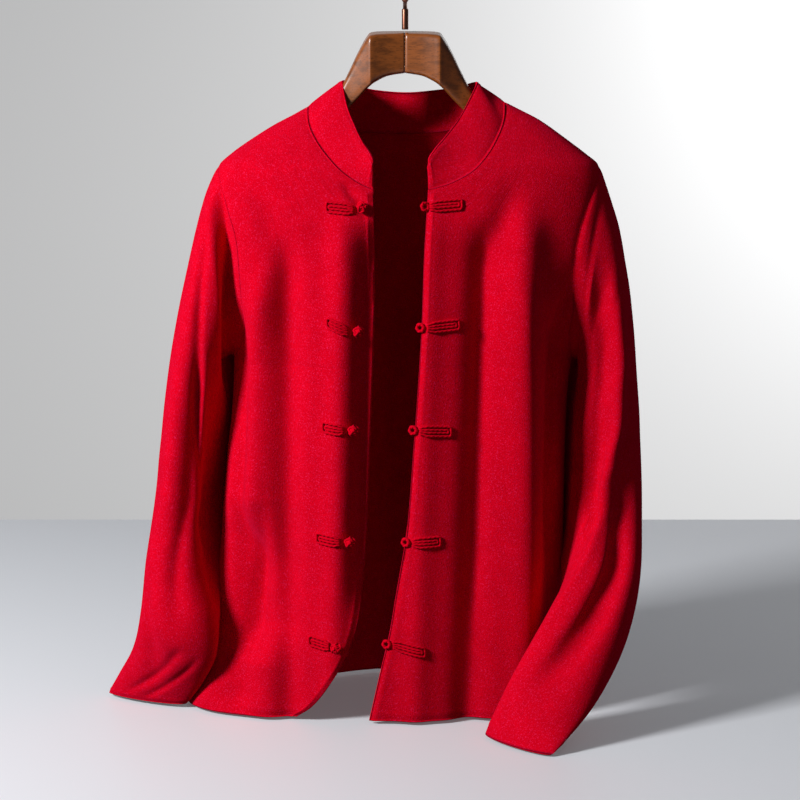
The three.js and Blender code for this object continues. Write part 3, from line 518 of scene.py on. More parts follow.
def body_point(angle, z):
    """Returns points of the body's outer face.

    At each height the section is a superellipse, wider or deeper on each side by the girth
    table, and the relief moves its points square to it. The angle is nought at the right
    side, a quarter turn at the back and negative round the front.
    """
    c, s = np.cos(angle), np.sin(angle)
    half = np.where(c < 0, left_reach(z), right_reach(z))
    depth = np.where(s < 0, front_reach(z), back_reach(z))
    x = np.sign(c) * half * np.abs(c) ** (2 / ROUNDNESS)
    y = np.sign(s) * depth * np.abs(s) ** (2 / ROUNDNESS)
    out_x = np.sign(x) * np.abs(x / half) ** (ROUNDNESS - 1) / half
    out_y = np.sign(y) * np.abs(y / depth) ** (ROUNDNESS - 1) / depth
    relief = np.where(s < 0, front_relief(x, z), back_relief(x, z))
    move = relief * ease(np.abs(s) / SIDE_CALM) / np.hypot(out_x, out_y)
    return np.stack([x + out_x * move, y + out_y * move, z + tilt_at(x, z)], axis=-1)


def body_normal(angle, z):
    """Returns the body's normals: the step round crossed with the step up."""
    turn, rise = math.radians(0.5), 1.2
    along = body_point(angle + turn, z) - body_point(angle - turn, z)
    up = body_point(angle, z + rise) - body_point(angle, z - rise)
    return unit(np.cross(along, up))


def angle_at_x(x, z, face):
    """Returns the angle at which the plain section is at x, on the front or the back."""
    half = np.where(x < 0, left_reach(z), right_reach(z))
    share = np.minimum(1, np.abs(x) / half) ** (ROUNDNESS / 2)
    return face * np.arccos(np.sign(x) * share)


def armhole_place(side, face, turn):
    """Returns angle and height on the armhole, an ellipse in the side view."""
    z = ARMHOLE_Z + ARMHOLE_HALF * np.cos(turn)
    reach = np.where(face < 0, FRONT_REACH / front_reach(z), BACK_REACH / back_reach(z))
    reach *= np.abs(np.sin(turn))
    rise = np.arcsin(np.clip(reach, 0, 1) ** (ROUNDNESS / 2))
    return face * (math.pi - rise if side < 0 else rise), z


def side_place(side, face, row):
    """Returns angle and height down the armhole and then down the side seam."""
    arm_row = np.minimum(row, ARMHOLE_ROWS)
    arm_angle, arm_z = armhole_place(side, face, 2 * math.pi * arm_row / AROUND_ARM)
    seam_z = lerp(ARMHOLE_Z - ARMHOLE_HALF, HEM_Z, (row - ARMHOLE_ROWS) / SKIRT_ROWS)
    seam_angle = face * math.pi if side < 0 else 0.0
    below = row > ARMHOLE_ROWS
    return np.where(below, seam_angle, arm_angle), np.where(below, seam_z, arm_z)


def line_points(points, shares):
    """Returns points at shares of the length of a smooth line through given points."""
    p = np.array(points, float)
    full = np.vstack([p[:1], p, p[-1:]])
    place = np.linspace(0, len(p) - 1, 60 * len(p))
    fine = hermite(full, place)
    length = lengths(fine)
    return np.stack([np.interp(shares * length[-1], length, fine[:, i]) for i in (0, 1)])


def hermite(full, place):
    """Returns points on a line whose slope at each point is half the step past it."""
    i = np.minimum(place.astype(int), len(full) - 4)
    w = (place - i)[:, None]
    before, start, end, after = (full[i + k] for k in range(4))
    out, back = (end - before) / 2, (after - start) / 2
    cubic = 2 * start - 2 * end + out + back
    square = -3 * start + 3 * end - 2 * out - back
    return ((cubic * w + square) * w + out) * w + start


def shoulder_place(side, face, share):
    """Returns angle and height on the shoulder seam from the tip to the neck point."""
    angle = np.full(share.shape, face * math.pi if side < 0 else 0.0)
    return angle, lerp(ARMHOLE_Z + ARMHOLE_HALF, NECK_POINT_Z, share)


def front_neck_place(side, share):
    """Returns angle and height on the neckline from the neck point to the front edge."""
    column = 0 if side < 0 else 1
    x, z = line_points([(p[column], p[2]) for p in FRONT_NECK], 1 - (1 - share) ** NECK_SPREAD)
    return angle_at_x(x, z, -1), z


def back_neck_place(share):
    """Returns angle and height on the neckline of the back from left to right."""
    x, z = line_points(BACK_NECK, share)
    return angle_at_x(x, z, 1), z


def front_top(side, u):
    """Returns the top of a front: the shoulder seam, then the neckline."""
    column = u * (SHOULDER_COLUMNS + FRONT_NECK_COLUMNS)
    on_shoulder = column < SHOULDER_COLUMNS
    shoulder = shoulder_place(side, -1, np.minimum(column / SHOULDER_COLUMNS, 1))
    neck = front_neck_place(side, np.clip((column - SHOULDER_COLUMNS) / FRONT_NECK_COLUMNS, 0, 1))
    return [np.where(on_shoulder, a, b) for a, b in zip(shoulder, neck)]


def back_top(u):
    """Returns the top of the back: a shoulder seam, the neckline and the other shoulder."""
    column = u * (2 * SHOULDER_COLUMNS + BACK_NECK_COLUMNS)
    last = SHOULDER_COLUMNS + BACK_NECK_COLUMNS
    left = shoulder_place(-1, 1, np.minimum(column / SHOULDER_COLUMNS, 1))
    neck = back_neck_place(np.clip((column - SHOULDER_COLUMNS) / BACK_NECK_COLUMNS, 0, 1))
    right = shoulder_place(1, 1, np.clip(1 - (column - last) / SHOULDER_COLUMNS, 0, 1))
    return [
        np.where(column < SHOULDER_COLUMNS, a, np.where(column > last, c, b))
        for a, b, c in zip(left, neck, right)
    ]


def panel_places(rows, u, top, start, end):
    """Returns angles and heights of a panel's grid.

    Below the yoke each row is level from side to side. The yoke is the sum of the blend
    from top to bottom and the blend from side to side, less the blend of the corners.
    """
    r = rows[:, None]
    v = np.minimum(r / YOKE_ROWS, 1)
    foot = np.array([float(YOKE_ROWS)])
    places = []
    for i in (0, 1):
        sides = lerp(start(r)[i], end(r)[i], u)
        if i == 1:
            sides = np.where(r >= YOKE_ROWS, start(r)[1], sides)
        low_start, low_end = start(foot)[i], end(foot)[i]
        low = lerp(low_start, low_end, u)
        edges = lerp(top[i], low, v) + sides
        corners = lerp(lerp(top[i][0], top[i][-1], u), low, v)
        places.append(np.where(r < YOKE_ROWS, edges - corners, sides))
    return places


def row_list(spacing):
    """Returns the rows of a panel at an even spacing down the cloth."""
    counts = [round(drop / spacing) for drop in PANEL_DROPS]
    stops = [0, YOKE_ROWS, ARMHOLE_ROWS, ARMHOLE_ROWS + SKIRT_ROWS]
    parts = [np.linspace(a, b, n, endpoint=False) for a, b, n in zip(stops, stops[1:], counts)]
    return np.append(np.concatenate(parts), stops[-1])


def stretches(*stops):
    """Returns even steps between stops, each given as a place and a count up to the next."""
    parts = [np.linspace(a[0], b[0], a[1], endpoint=False) for a, b in zip(stops, stops[1:])]
    return np.append(np.concatenate(parts), stops[-1][0])


def cloth_at(angle, z, face):
    """Returns points and normals of a panel, set back by half a gap at a straight seam."""
    points = body_point(angle, z)
    points[..., 1] += np.where(np.abs(np.sin(angle)) < 1e-6, face * SEAM_GAP / 2, 0)
    return points, body_normal(angle, z)


def past_seam(points, normals, opening, goes_round):
    """Returns a seam line moved off its panel by the gap, in the surface, to an opening."""
    off = unit(np.cross(steps(points, goes_round), normals))
    towards = np.sum(off * (np.array(opening) - points), axis=-1, keepdims=True)
    return points + np.sign(towards) * off * SEAM_GAP


def grid_normals(points, goes_round, away_from):
    """Returns normals of a grid from its neighbours, pointing away from given points."""
    normals = unit(np.cross(steps(points, goes_round, 1), steps(points, False)))
    facing = np.sum(normals * (points - away_from))
    return normals if facing > 0 else -normals


def shell(points, normals, goes_round, borders):
    """Returns vertices, faces and face coordinates of a closed cloth wall.

    The outer grid is offset along the normals to make the inner one. Each border is drawn
    back by its own rounding, given for the first row, the last row, the first column and the
    last column, and closed with two quarter rounds. The coordinates are lengths along the
    rows and down the columns.
    """
    if goes_round:
        points = np.concatenate([points, points[:, :1]], axis=1)
        normals = np.concatenate([normals, normals[:, :1]], axis=1)
    rows, columns = points.shape[:2]
    step = np.linalg.norm(np.diff(points, axis=1), axis=2)
    u = np.concatenate([np.zeros((rows, 1)), np.cumsum(step, axis=1)], axis=1)
    fall = np.linalg.norm(np.diff(points, axis=0), axis=2)
    v = np.concatenate([np.zeros((1, columns)), np.cumsum(fall, axis=0)], axis=0)
    index = np.arange(rows * columns).reshape(rows, columns)

    outward = np.zeros_like(points)
    outward[0] += unit(points[0] - points[1])
    outward[-1] += unit(points[-1] - points[-2])
    if not goes_round:
        outward[:, 0] += unit(points[:, 0] - points[:, 1])
        outward[:, -1] += unit(points[:, -1] - points[:, -2])
    size = np.linalg.norm(outward, axis=2, keepdims=True)
    outward = np.divide(outward, size, out=np.zeros_like(outward), where=size > 0)
    rounding = np.full((rows, columns, 1), SEAM_ROUND)
    rounding[:, 0], rounding[:, -1] = borders[2], borders[3]
    rounding[0], rounding[-1] = borders[0], borders[1]
    valley = np.zeros((rows, columns))
    from_borders = (v, v[-1] - v, u, u[:, -1:] - u)
    for away, size in zip(from_borders, borders):
        if size == SEAM_ROUND and not (goes_round and away is not v):
            valley = np.maximum(valley, np.exp(-((away / SEAM_REACH) ** 2)))
    outer = points - outward * rounding - normals * (SEAM_DEPTH * valley)[..., None]
    inner = outer - normals * WALL

    if goes_round:
        lines = [index[0][::-1], index[-1]]
    else:
        around = np.concatenate([index[0, :0:-1], index[:-1, 0], index[-1, :-1], index[:0:-1, -1]])
        lines = [np.append(around, around[:1])]
    verts = [outer.reshape(-1, 3), inner.reshape(-1, 3)]
    places = [np.stack([u, v], axis=-1).reshape(-1, 2)] * 2
    real = [np.arange(2 * rows * columns)]
    if goes_round:
        merged = index.copy()
        merged[:, -1] = index[:, 0]
        real = [np.concatenate([merged.ravel(), merged.ravel() + rows * columns])]
    a, b, c, d = index[:-1, :-1], index[:-1, 1:], index[1:, 1:], index[1:, :-1]
    quads = np.stack([a, b, c, d], axis=-1).reshape(-1, 4)
    faces = [quads, quads[:, ::-1] + rows * columns]
    total = 2 * rows * columns
    flat_points, flat_out, flat_normals, flat_round, flat_dip = (
        grid.reshape(rows * columns, -1)
        for grid in (points, outward, normals, rounding, SEAM_DEPTH * valley)
    )
    for line in lines:
        out, normal, size = flat_out[line], flat_normals[line], flat_round[line]
        rings = [line]
        for turn in np.radians(BORDER_TURNS):
            depth = size if turn > 0 else WALL - size
            centre = flat_points[line] - out * size - normal * (depth + flat_dip[line])
            verts.append(centre + (math.cos(turn) * out + math.sin(turn) * normal) * size)
            places.append(places[0][line] + BORDER_SHIFT)
            ring = np.arange(total, total + len(line))
            total += len(line)
            closed = ring.copy()
            closed[-1] = ring[0]
            real.append(closed)
            rings.append(ring)
        rings.append(line + rows * columns)
        for near, far in zip(rings, rings[1:]):
            faces.append(np.stack([near[:-1], near[1:], far[1:], far[:-1]], axis=-1)[:, ::-1])
    faces = np.concatenate(faces)
    real = np.concatenate(real)
    verts = np.concatenate(verts)
    places = np.concatenate(places)
    used, compact = np.unique(real, return_inverse=True)
    corners = compact[faces]
    solid = verts[used]
    if signed_volume(solid, corners) < 0:
        corners, faces = corners[:, ::-1], faces[:, ::-1]
    return solid, corners, places[faces]


def side_faces(index):
    """Returns the faces between rings of points, given by number, that close round."""
    after = np.roll(index, -1, axis=1)
    return np.stack([index[:-1], after[:-1], after[1:], index[1:]], axis=-1).reshape(-1, 4)


def end_faces(ring):
    """Returns four sided faces that close a ring of points, given by number."""
    return np.array([
        (ring[i], ring[-1 - i], ring[-2 - i], ring[i + 1]) for i in range(len(ring) // 2 - 1)
    ])


def rounds(rings):
    """Returns vertices and faces of rings of points, closed at both ends."""
    index = np.arange(rings.shape[0] * rings.shape[1]).reshape(rings.shape[:2])
    ends = [end_faces(ring)[:, ::-1] for ring in (index[0][::-1], index[-1])]
    return rings.reshape(-1, 3), np.concatenate([side_faces(index), *ends])


def turned_out(verts, faces, across):
    """Returns a part with its faces turned outwards and its face coordinates."""
    if signed_volume(verts, faces) < 0:
        faces = faces[:, ::-1]
    return verts, faces, np.stack([across, verts[:, 2]], axis=-1)[faces]


def signed_volume(verts, quads):
    """Returns the volume inside closed faces, negative where they face inwards."""
    a, b, c, d = (verts[quads[:, i]] for i in range(4))
    first = np.einsum("ij,ij->i", a, np.cross(b, c))
    return (first + np.einsum("ij,ij->i", a, np.cross(c, d))).sum() / 6


def joined(parts):
    """Returns one set of vertices, faces and face coordinates from several."""
    verts, faces, places, total = [], [], [], 0
    for part in parts:
        verts.append(part[0])
        faces.append(part[1] + total)
        places.append(part[2])
        total += len(part[0])
    return np.concatenate(verts), np.concatenate(faces), np.concatenate(places)


def add_piece(name, part, material, nodes):
    """Makes a mesh object of a part in millimetres, riding on the body for its nodes."""
    verts, faces, places = part
    mesh = bpy.data.meshes.new(name)
    mesh.vertices.add(len(verts))
    mesh.vertices.foreach_set("co", (verts * MM).astype(np.float32).ravel())
    mesh.loops.add(faces.size)
    mesh.loops.foreach_set("vertex_index", faces.astype(np.int32).ravel())
    mesh.polygons.add(len(faces))
    mesh.polygons.foreach_set("loop_start", np.arange(0, faces.size, 4, dtype=np.int32))
    mesh.polygons.foreach_set("use_smooth", np.ones(len(faces), bool))
    layer = mesh.uv_layers.new(name="cloth")
    mesh.update(calc_edges=True)
    layer.data.foreach_set("uv", (places * MM).astype(np.float32).ravel())
    mesh.validate()
    piece = bpy.data.objects.new(name, mesh)
    bpy.context.scene.collection.objects.link(piece)
    mesh.materials.append(material)
    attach(piece, "root")
    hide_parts(*nodes)
    return piece


def add_cloth(node, part):
    """Makes the wool piece that stands for one solid of the cardigan."""
    return add_piece(f"{node}_cloth", part, bpy.data.materials["wool"], [node])


class Look:
    """A material's node tree, with short calls to add nodes and links."""

    def __init__(self, name, **values):
        self.material = bpy.data.materials.new(name)
        self.material.use_nodes = True
        self.tree = self.material.node_tree
        self.surface = self.tree.nodes["Principled BSDF"]
        for key, value in values.items():
            self.surface.inputs[key.replace("_", " ")].default_value = value

    def node(self, kind, settings=None, **inputs):
        """Adds a node, sets its options and joins or sets its inputs by number."""
        made = self.tree.nodes.new(kind)
        for key, value in (settings or {}).items():
            setattr(made, key, value)
        for key, value in inputs.items():
            place = int(key[1:]) if key[0] == "i" and key[1:].isdigit() else key.replace("_", " ")
            socket = made.inputs[place]
            if isinstance(value, bpy.types.NodeSocket):
                self.tree.links.new(value, socket)
            else:
                socket.default_value = value
        return made

    def noise(self, vector, scale, detail=2.0, roughness=0.5):
        """Adds noise at a scale and returns its factor."""
        made = self.node(
            "ShaderNodeTexNoise", Vector=vector, Scale=scale, Detail=detail, Roughness=roughness
        )
        return made.outputs[0]

    def math(self, operation, a, b=0.0, c=0.0):
        """Adds a sum and returns its value."""
        made = self.node("ShaderNodeMath", {"operation": operation}, i0=a, i1=b, i2=c)
        return made.outputs[0]

    def ramp(self, value, low, high, out_low=0.0, out_high=1.0):
        """Adds a straight change of range with both ends held, and returns it."""
        made = self.node("ShaderNodeMapRange", i0=value, i1=low, i2=high, i3=out_low, i4=out_high)
        return made.outputs[0]

    def mix(self, share, a, b):
        """Adds a blend of two colours and returns it."""
        made = self.node("ShaderNodeMix", {"data_type": "RGBA"})
        for socket, value in ((made.inputs[0], share), (made.inputs[6], a), (made.inputs[7], b)):
            if isinstance(value, bpy.types.NodeSocket):
                self.tree.links.new(value, socket)
            elif socket.type == "RGBA":
                socket.default_value = (*value[:3], 1.0)
            else:
                socket.default_value = value
        return made.outputs[2]

    def set(self, name, value):
        """Joins a value to an input of the surface."""
        self.tree.links.new(value, self.surface.inputs[name])


def wool(name, colour, grain, fuzz, flecks):
    """Makes felted wool: a fine knit bump on the cloth's own lengths, painted shade in the hollows
    between its cells, and a pink heather.
    """
    look = Look(
        name, Roughness=1.0, Specular_IOR_Level=0.0, Sheen_Weight=fuzz, Sheen_Roughness=0.5,
        Sheen_Tint=(1.0, 0.03, 0.2, 1.0),
    )
    place = look.node("ShaderNodeTexCoord")
    cloth = look.node("ShaderNodeUVMap", {"uv_map": "cloth"}).outputs[0]
    fine = look.noise(place.outputs["Object"], 0.9 / grain, 3.0, 0.6)
    wide = look.noise(place.outputs["Object"], 60.0, 2.0)
    split = look.node("ShaderNodeSeparateXYZ", i0=cloth)
    stretched = look.node("ShaderNodeMapping", i0=cloth, i3=(1.0 / grain, 0.72 / grain, 1.0))
    cells = look.node(
        "ShaderNodeTexVoronoi", {"feature": "SMOOTH_F1", "voronoi_dimensions": "2D"},
        Vector=stretched.outputs[0], Scale=1.0, Smoothness=0.5, Randomness=0.75,
    ).outputs[0]
    wale = look.math("SINE", look.math("MULTIPLY", split.outputs[0], 2 * math.pi / (grain * 1.1)))
    speckle = look.ramp(fine, 0.54, 0.72)
    base = look.mix(look.ramp(wide, 0.35, 0.65), [c * 0.9 for c in colour], colour)
    # Painted shade: the colour darkens towards the borders of the knit cells, where the bump sinks
    # into hollows.
    knit_hollow_shade = look.mix(look.ramp(cells, 0.35, 0.75), base, [c * 0.72 for c in colour])
    heather = look.mix(look.math("MULTIPLY", speckle, flecks), knit_hollow_shade, (0.95, 0.03, 0.16))
    look.set("Base Color", heather)
    height = look.math("MULTIPLY_ADD", cells, -0.7, look.math("MULTIPLY", fine, 0.9))
    height = look.math("MULTIPLY_ADD", wale, 0.08, height)
    bump = look.node("ShaderNodeBump", Strength=0.55, Distance=0.0007, Height=height)
    look.set("Normal", bump.outputs[0])
    return look.material


class CARDIGAN_OT_fronts(bpy.types.Operator):
    """Makes the two fronts"""

    bl_idname = "cardigan.fronts"
    bl_label = "Fronts"

    def execute(self, context):
        spacing = context.scene.cardigan.spacing / MM
        corner = SHOULDER_COLUMNS / (SHOULDER_COLUMNS + FRONT_NECK_COLUMNS)
        u = stretches(
            (0, round(SHOULDER_WIDTH / spacing)), (corner, round(FRONT_WIDTH / spacing)),
            (0.95, 10), (1, 0),
        )
        rows = row_list(spacing)
        low_z = side_place(-1, -1, np.array([float(YOKE_ROWS)]))[1][0]
        for side, edge, name, flat, area in (
            (-1, left_edge, "left", (0.215, 0.655), 0.1136),
            (1, right_edge, "right", (0.245, 0.655), 0.1316),
        ):

            def end(r, side=side, edge=edge):
                level = side_place(side, -1, r)[1]
                z = np.where(r < YOKE_ROWS, lerp(NECK_FRONT_Z, low_z, r / YOKE_ROWS), level)
                return angle_at_x(edge(z), z, -1), z

            angle, z = panel_places(
                rows, u, front_top(side, u), lambda r, side=side: side_place(side, -1, r), end
            )
            borders = (SEAM_ROUND, FREE_ROUND, SEAM_ROUND, FREE_ROUND)
            part = shell(*cloth_at(angle, z, -1), False, borders)
            piece = add_cloth(f"front_{name}", part)
        return {"FINISHED"}


class CARDIGAN_OT_back(bpy.types.Operator):
    """Makes the back"""

    bl_idname = "cardigan.back"
    bl_label = "Back"

    def execute(self, context):
        spacing = context.scene.cardigan.spacing / MM
        corner = SHOULDER_COLUMNS / (2 * SHOULDER_COLUMNS + BACK_NECK_COLUMNS)
        u = stretches(
            (0, round(BACK_SIDE_WIDTH / spacing)), (corner, round(BACK_MIDDLE_WIDTH / spacing)),
            (1 - corner, round(BACK_SIDE_WIDTH / spacing)), (1, 0),
        )
        angle, z = panel_places(
            row_list(spacing), u, back_top(u),
            lambda r: side_place(-1, 1, r), lambda r: side_place(1, 1, r),
        )
        borders = (SEAM_ROUND, FREE_ROUND, SEAM_ROUND, SEAM_ROUND)
        part = shell(*cloth_at(angle, z, 1), False, borders)
        piece = add_cloth("back", part)
        return {"FINISHED"}


class CARDIGAN_OT_sleeves(bpy.types.Operator):
    """Makes the two sleeves"""

    bl_idname = "cardigan.sleeves"
    bl_label = "Sleeves"

    def execute(self, context):
        spacing = context.scene.cardigan.spacing / MM
        scale = context.scene.cardigan.crease_depth
        turn = turns(round(SLEEVE_ROUND / spacing))
        share = np.linspace(0, 1, round(SLEEVE_LENGTH / spacing))
        for side, rings, folds, creases, grooves, flat, area, name in (
            (-1, LEFT_SLEEVE, LEFT_SLEEVE_FOLDS, LEFT_SLEEVE_CREASES, LEFT_ARMHOLE_GROOVES,
             (0.36, 0.62), 0.1346, "left"),
            (1, RIGHT_SLEEVE, RIGHT_SLEEVE_FOLDS, RIGHT_SLEEVE_CREASES, RIGHT_ARMHOLE_GROOVES,
             (0.36, 0.66), 0.1492, "right"),
        ):
            first, first_normals = armhole_ring(side, turn)
            points, middle = sleeve_rings(side, rings, folds, turn, share)
            blend = ease(share / CAP_BLEND)[:, None, None]
            points = lerp(first[None], points, blend)
            degrees, length = np.degrees(turn)[None], share[:, None]
            relief = crease_height(creases, degrees, length, scale)
            relief += crease_height(grooves, length, degrees, scale)
            relief *= ease(length / SEAM_BLEND)
            relief += edge_turn((1 - length) * SLEEVE_LENGTH, HEM_BAND, HEM_FALL)
            points += grid_normals(points, True, middle[:, None]) * relief[..., None]
            normals = grid_normals(points, True, middle[:, None])
            near_seam = ease(share / SEAM_BLEND)[:, None, None]
            normals = unit(lerp(first_normals[None], normals, near_seam))
            part = shell(points, normals, True, (SEAM_ROUND, FREE_ROUND, SEAM_ROUND, SEAM_ROUND))
            piece = add_cloth(f"sleeve_{name}", part)
        return {"FINISHED"}


def armhole_ring(side, turn):
    """Returns the armhole seam all round, past its gap, with the body's normals."""
    face = np.where(turn <= math.pi, -1, 1)
    angle, z = armhole_place(side, face, turn)
    points, normals = body_point(angle, z), body_normal(angle, z)
    middle = (side * float(left_reach(ARMHOLE_Z)), 0, ARMHOLE_Z)
    return past_seam(points, normals, middle, True), normals


def sleeve_rings(side, rings, folds, turn, share):
    """Returns the sleeve's grid and its middle line.

    Each ring is an ellipse on the line from its inner to its outer point, with its depth
    square to that and to the sleeve's axis. Folds move points outwards, and the dish moves
    them towards the body by the square of the sine of the turn. The slant moves them by the
    sine, so that the back of the sleeve reaches in behind the body.
    """
    table = np.array(rings, float)
    last = len(table) - 1
    ends = []
    for first in (0, 3):
        p = table[:, first:first + 3]
        ends.append(np.vstack([2 * p[0] - p[1], p, 2 * p[-1] - p[-2]]))

    def at(t):
        place = np.clip(t, 0, 1) * last
        return hermite(ends[0], place), hermite(ends[1], place)

    outer, inner = at(share)
    half, middle = (outer - inner) / 2, (outer + inner) / 2
    ahead, behind = np.minimum(share + AXIS_STEP, 1), np.maximum(share - AXIS_STEP, 0)
    axis = unit(sum(at(ahead)) - sum(at(behind)))
    level = ease((share - CUFF_LEVEL) / (1 - CUFF_LEVEL))[:, None]
    axis = lerp(axis, np.array([0.0, 0.0, -1.0]), level)
    forward = unit(np.cross(axis, half))
    forward *= -np.sign(forward[:, 1:2])
    along = unit(half)
    rows = [(i, *row[6:]) for i, row in enumerate(rings)]
    deep, dish, slant = (through(rows, 0, i)(share * last)[:, None, None] for i in (1, 2, 3))
    degrees, length = np.degrees(turn)[None], share[:, None]
    relief = fold_height(folds, degrees, length, SLEEVE_FOLD_FADE)[..., None]
    c, s = np.cos(turn)[None, :, None], np.sin(turn)[None, :, None]
    points = (
        middle[:, None] + half[:, None] * c + forward[:, None] * (deep + relief) * s
        + along[:, None] * relief * c + np.array([side, 0.0, 0.0]) * (slant * s - dish * s * s)
    )
    return points, middle


class CARDIGAN_OT_collar(bpy.types.Operator):
    """Makes the stand collar"""

    bl_idname = "cardigan.collar"
    bl_label = "Collar"

    def execute(self, context):
        spacing = context.scene.cardigan.spacing / MM * 0.8
        share = np.linspace(0, 1, round(COLLAR_FRONT / spacing))
        left = [p[::-1] for p in front_neck_place(-1, share)]
        back = [p[1:-1] for p in back_neck_place(np.linspace(0, 1, round(COLLAR_BACK / spacing)))]
        right = front_neck_place(1, share)
        angle, z = (np.concatenate(parts) for parts in zip(left, back, right))
        normals = body_normal(angle, z)
        foot = past_seam(body_point(angle, z), normals, (0, 0, NECK_POINT_Z), False)
        length = lengths(foot)
        length /= length[-1]
        top = np.stack([through(COLLAR_TOP, 0, i)(length) for i in (1, 2, 3)], axis=-1)
        t = np.linspace(0, 1, COLLAR_ROWS)[:, None, None]
        out = foot * np.array([1.0, 1.0, 0.0])
        points = lerp(foot[None], top[None], t) + unit(out)[None] * COLLAR_BOW * np.sin(math.pi * t)
        grid = grid_normals(points, False, np.array([0.0, 0.0, NECK_POINT_Z]))
        down = np.linalg.norm(points - top[None], axis=2)
        ends = np.minimum(length, 1 - length)[None] * COLLAR_LENGTH
        band = edge_turn(np.minimum(down, ends), COLLAR_BAND, COLLAR_FALL)[..., None]
        points = points + grid * band * ease(t * 4)
        grid[0] = normals
        part = shell(points, grid, False, (SEAM_ROUND, FREE_ROUND, FREE_ROUND, FREE_ROUND))
        piece = add_cloth("collar", part)
        return {"FINISHED"}


def front_at(x, z):
    """Returns points and normals of the fronts at places of the front view."""
    target = np.array(x, float)
    aim = target.copy()
    for _ in range(5):
        angle = angle_at_x(aim, z, -1)
        aim = aim + target - body_point(angle, z)[..., 0]
    return body_point(angle, z), body_normal(angle, z)


def cord_tube(path, ups, radius, closed=False, pitch=5.0, sides=12, lay=0.16):
    """Returns a twisted two ply cord along a path of points.

    The section's radius swings with twice the angle less the twist, so that two strands
    show, and its ends are closed with a point.
    """
    path = np.asarray(path, float)
    tangent = unit(steps(path, closed))
    side = unit(np.cross(tangent, ups))
    up = np.cross(side, tangent)
    length = lengths(path)
    if closed:
        whole = length[-1] + np.linalg.norm(path[0] - path[-1])
        pitch = whole / max(1, round(whole / pitch))
    turn = turns(sides)[None]
    twist = math.pi * length[:, None] / pitch
    swell = radius * (1 - lay + lay * np.cos(2 * (turn - twist)))
    ring = (
        path[:, None] + side[:, None] * (swell * np.cos(turn))[..., None]
        + up[:, None] * (swell * np.sin(turn))[..., None]
    )
    index = np.arange(ring.shape[0] * sides).reshape(-1, sides)
    if closed:
        index = np.vstack([index, index[:1]])
    faces = side_faces(index)
    verts = ring.reshape(-1, 3)
    if not closed:
        caps = [index[0], index[-1][::-1]]
        verts, faces = close_ends(verts, faces, caps, path[[0, -1]], tangent[[0, -1]], radius)
    return turned_out(verts, faces, verts[:, 0] + verts[:, 1])


def close_ends(verts, faces, caps, centres, tangents, radius):
    """Returns the tube with each end closed by a smaller ring and four sided faces."""
    for cap, centre, tangent, way in zip(caps, centres, tangents, (-1, 1)):
        total = len(verts)
        ring = lerp(verts[cap], centre, CORD_END) + tangent * way * radius * CORD_END
        verts = np.vstack([verts, ring])
        small = np.arange(total, total + len(cap))
        faces = np.vstack([
            faces, np.stack([np.roll(cap, -1), cap, small, np.roll(small, -1)], axis=-1)
        ])
        faces = np.vstack([faces, end_faces(small)])
    return verts, faces


def strap_parts(x0, z0, x1, z1, radius, way):
    """Returns the doubled loops of cord of one strap, laid on the front.

    The outer end, towards the way given, is a pair of nested bends, and the other ends run
    in to the knot or ring.
    """
    parts = []
    for spread, inset in ((STRAP_HEIGHT / 2 - radius, 0.0), (radius, radius * 2 - CORD_PRESS)):
        near, far = (x0, x1) if way > 0 else (x1, x0)
        far -= way * (radius + inset)
        near += way * radius * 0.6
        corner = min(spread * 0.75, STRAP_CORNER)
        count = max(6, int(abs(far - near) / CORD_STEP))
        t = np.linspace(0, 1, count)
        pinch = 1 - STRAP_PINCH * ease(1 - t * PINCH_RATE)
        run_x = lerp(near, far - way * corner, t)
        bend = np.linspace(0, math.pi / 2, 5)[1:]
        bend_x = far - way * corner + way * corner * np.sin(bend)
        bend_z = spread - corner + corner * np.cos(bend)
        xs = np.concatenate([run_x, bend_x])
        zs = np.concatenate([spread * pinch, bend_z])
        down = np.linspace(zs[-1], -zs[-1], max(3, int(2 * zs[-1] / CORD_STEP)))[1:-1]
        xs = np.concatenate([xs, np.full(down.shape, far), xs[::-1]])
        zs = np.concatenate([zs, down, -zs[::-1]])
        z = zs + lerp(z0, z1, (xs - x0) / (x1 - x0))
        points, normals = front_at(xs, z)
        path = points + normals * (FROG_LIFT * 0.2 + radius * 0.8)
        parts.append(cord_tube(path, normals, radius))
    return parts


def frame_at(x, z, lift):
    """Returns a centre over the front and two directions in it with the normal."""
    points, normals = front_at(np.array([x]), np.array([z]))
    normal = normals[0]
    right = unit(np.array([1.0, 0.0, 0.0]) - normal * normal[0])
    return points[0] + normal * lift, right, np.cross(normal, right), normal


def knot_parts(x, z, radius):
    """Returns a ball of woven cord: a closed line that swings four times in three turns."""
    centre, right, up, normal = frame_at(x, z, KNOT_RADIUS + FROG_LIFT)
    t = turns(KNOT_POINTS)
    lift = math.radians(KNOT_SWING) * np.sin(4 * t)
    size = KNOT_RADIUS - radius * 0.95 + KNOT_WEAVE * np.cos(8 * t + 0.8)
    out = (
        np.outer(np.cos(3 * t) * np.cos(lift), right) + np.outer(np.sin(3 * t) * np.cos(lift), up)
        + np.outer(np.sin(lift), normal)
    )
    weave = cord_tube(centre + out * size[:, None], out, radius * 0.95, True, KNOT_PITCH)
    core = ball(centre, KNOT_RADIUS - radius * 1.1, 20, 12)
    return [weave, core]


def ring_parts(x, z):
    """Returns the small ring of cord past the front edge."""
    centre, right, up, normal = frame_at(x, z, RING_CORD + RING_LIFT)
    t = turns(RING_POINTS)
    out = np.outer(np.cos(t), right) + np.outer(np.sin(t), up)
    path = centre + out * (RING_OUTSIDE - RING_CORD)
    return [cord_tube(path, np.tile(normal, (RING_POINTS, 1)), RING_CORD, True, KNOT_PITCH)]


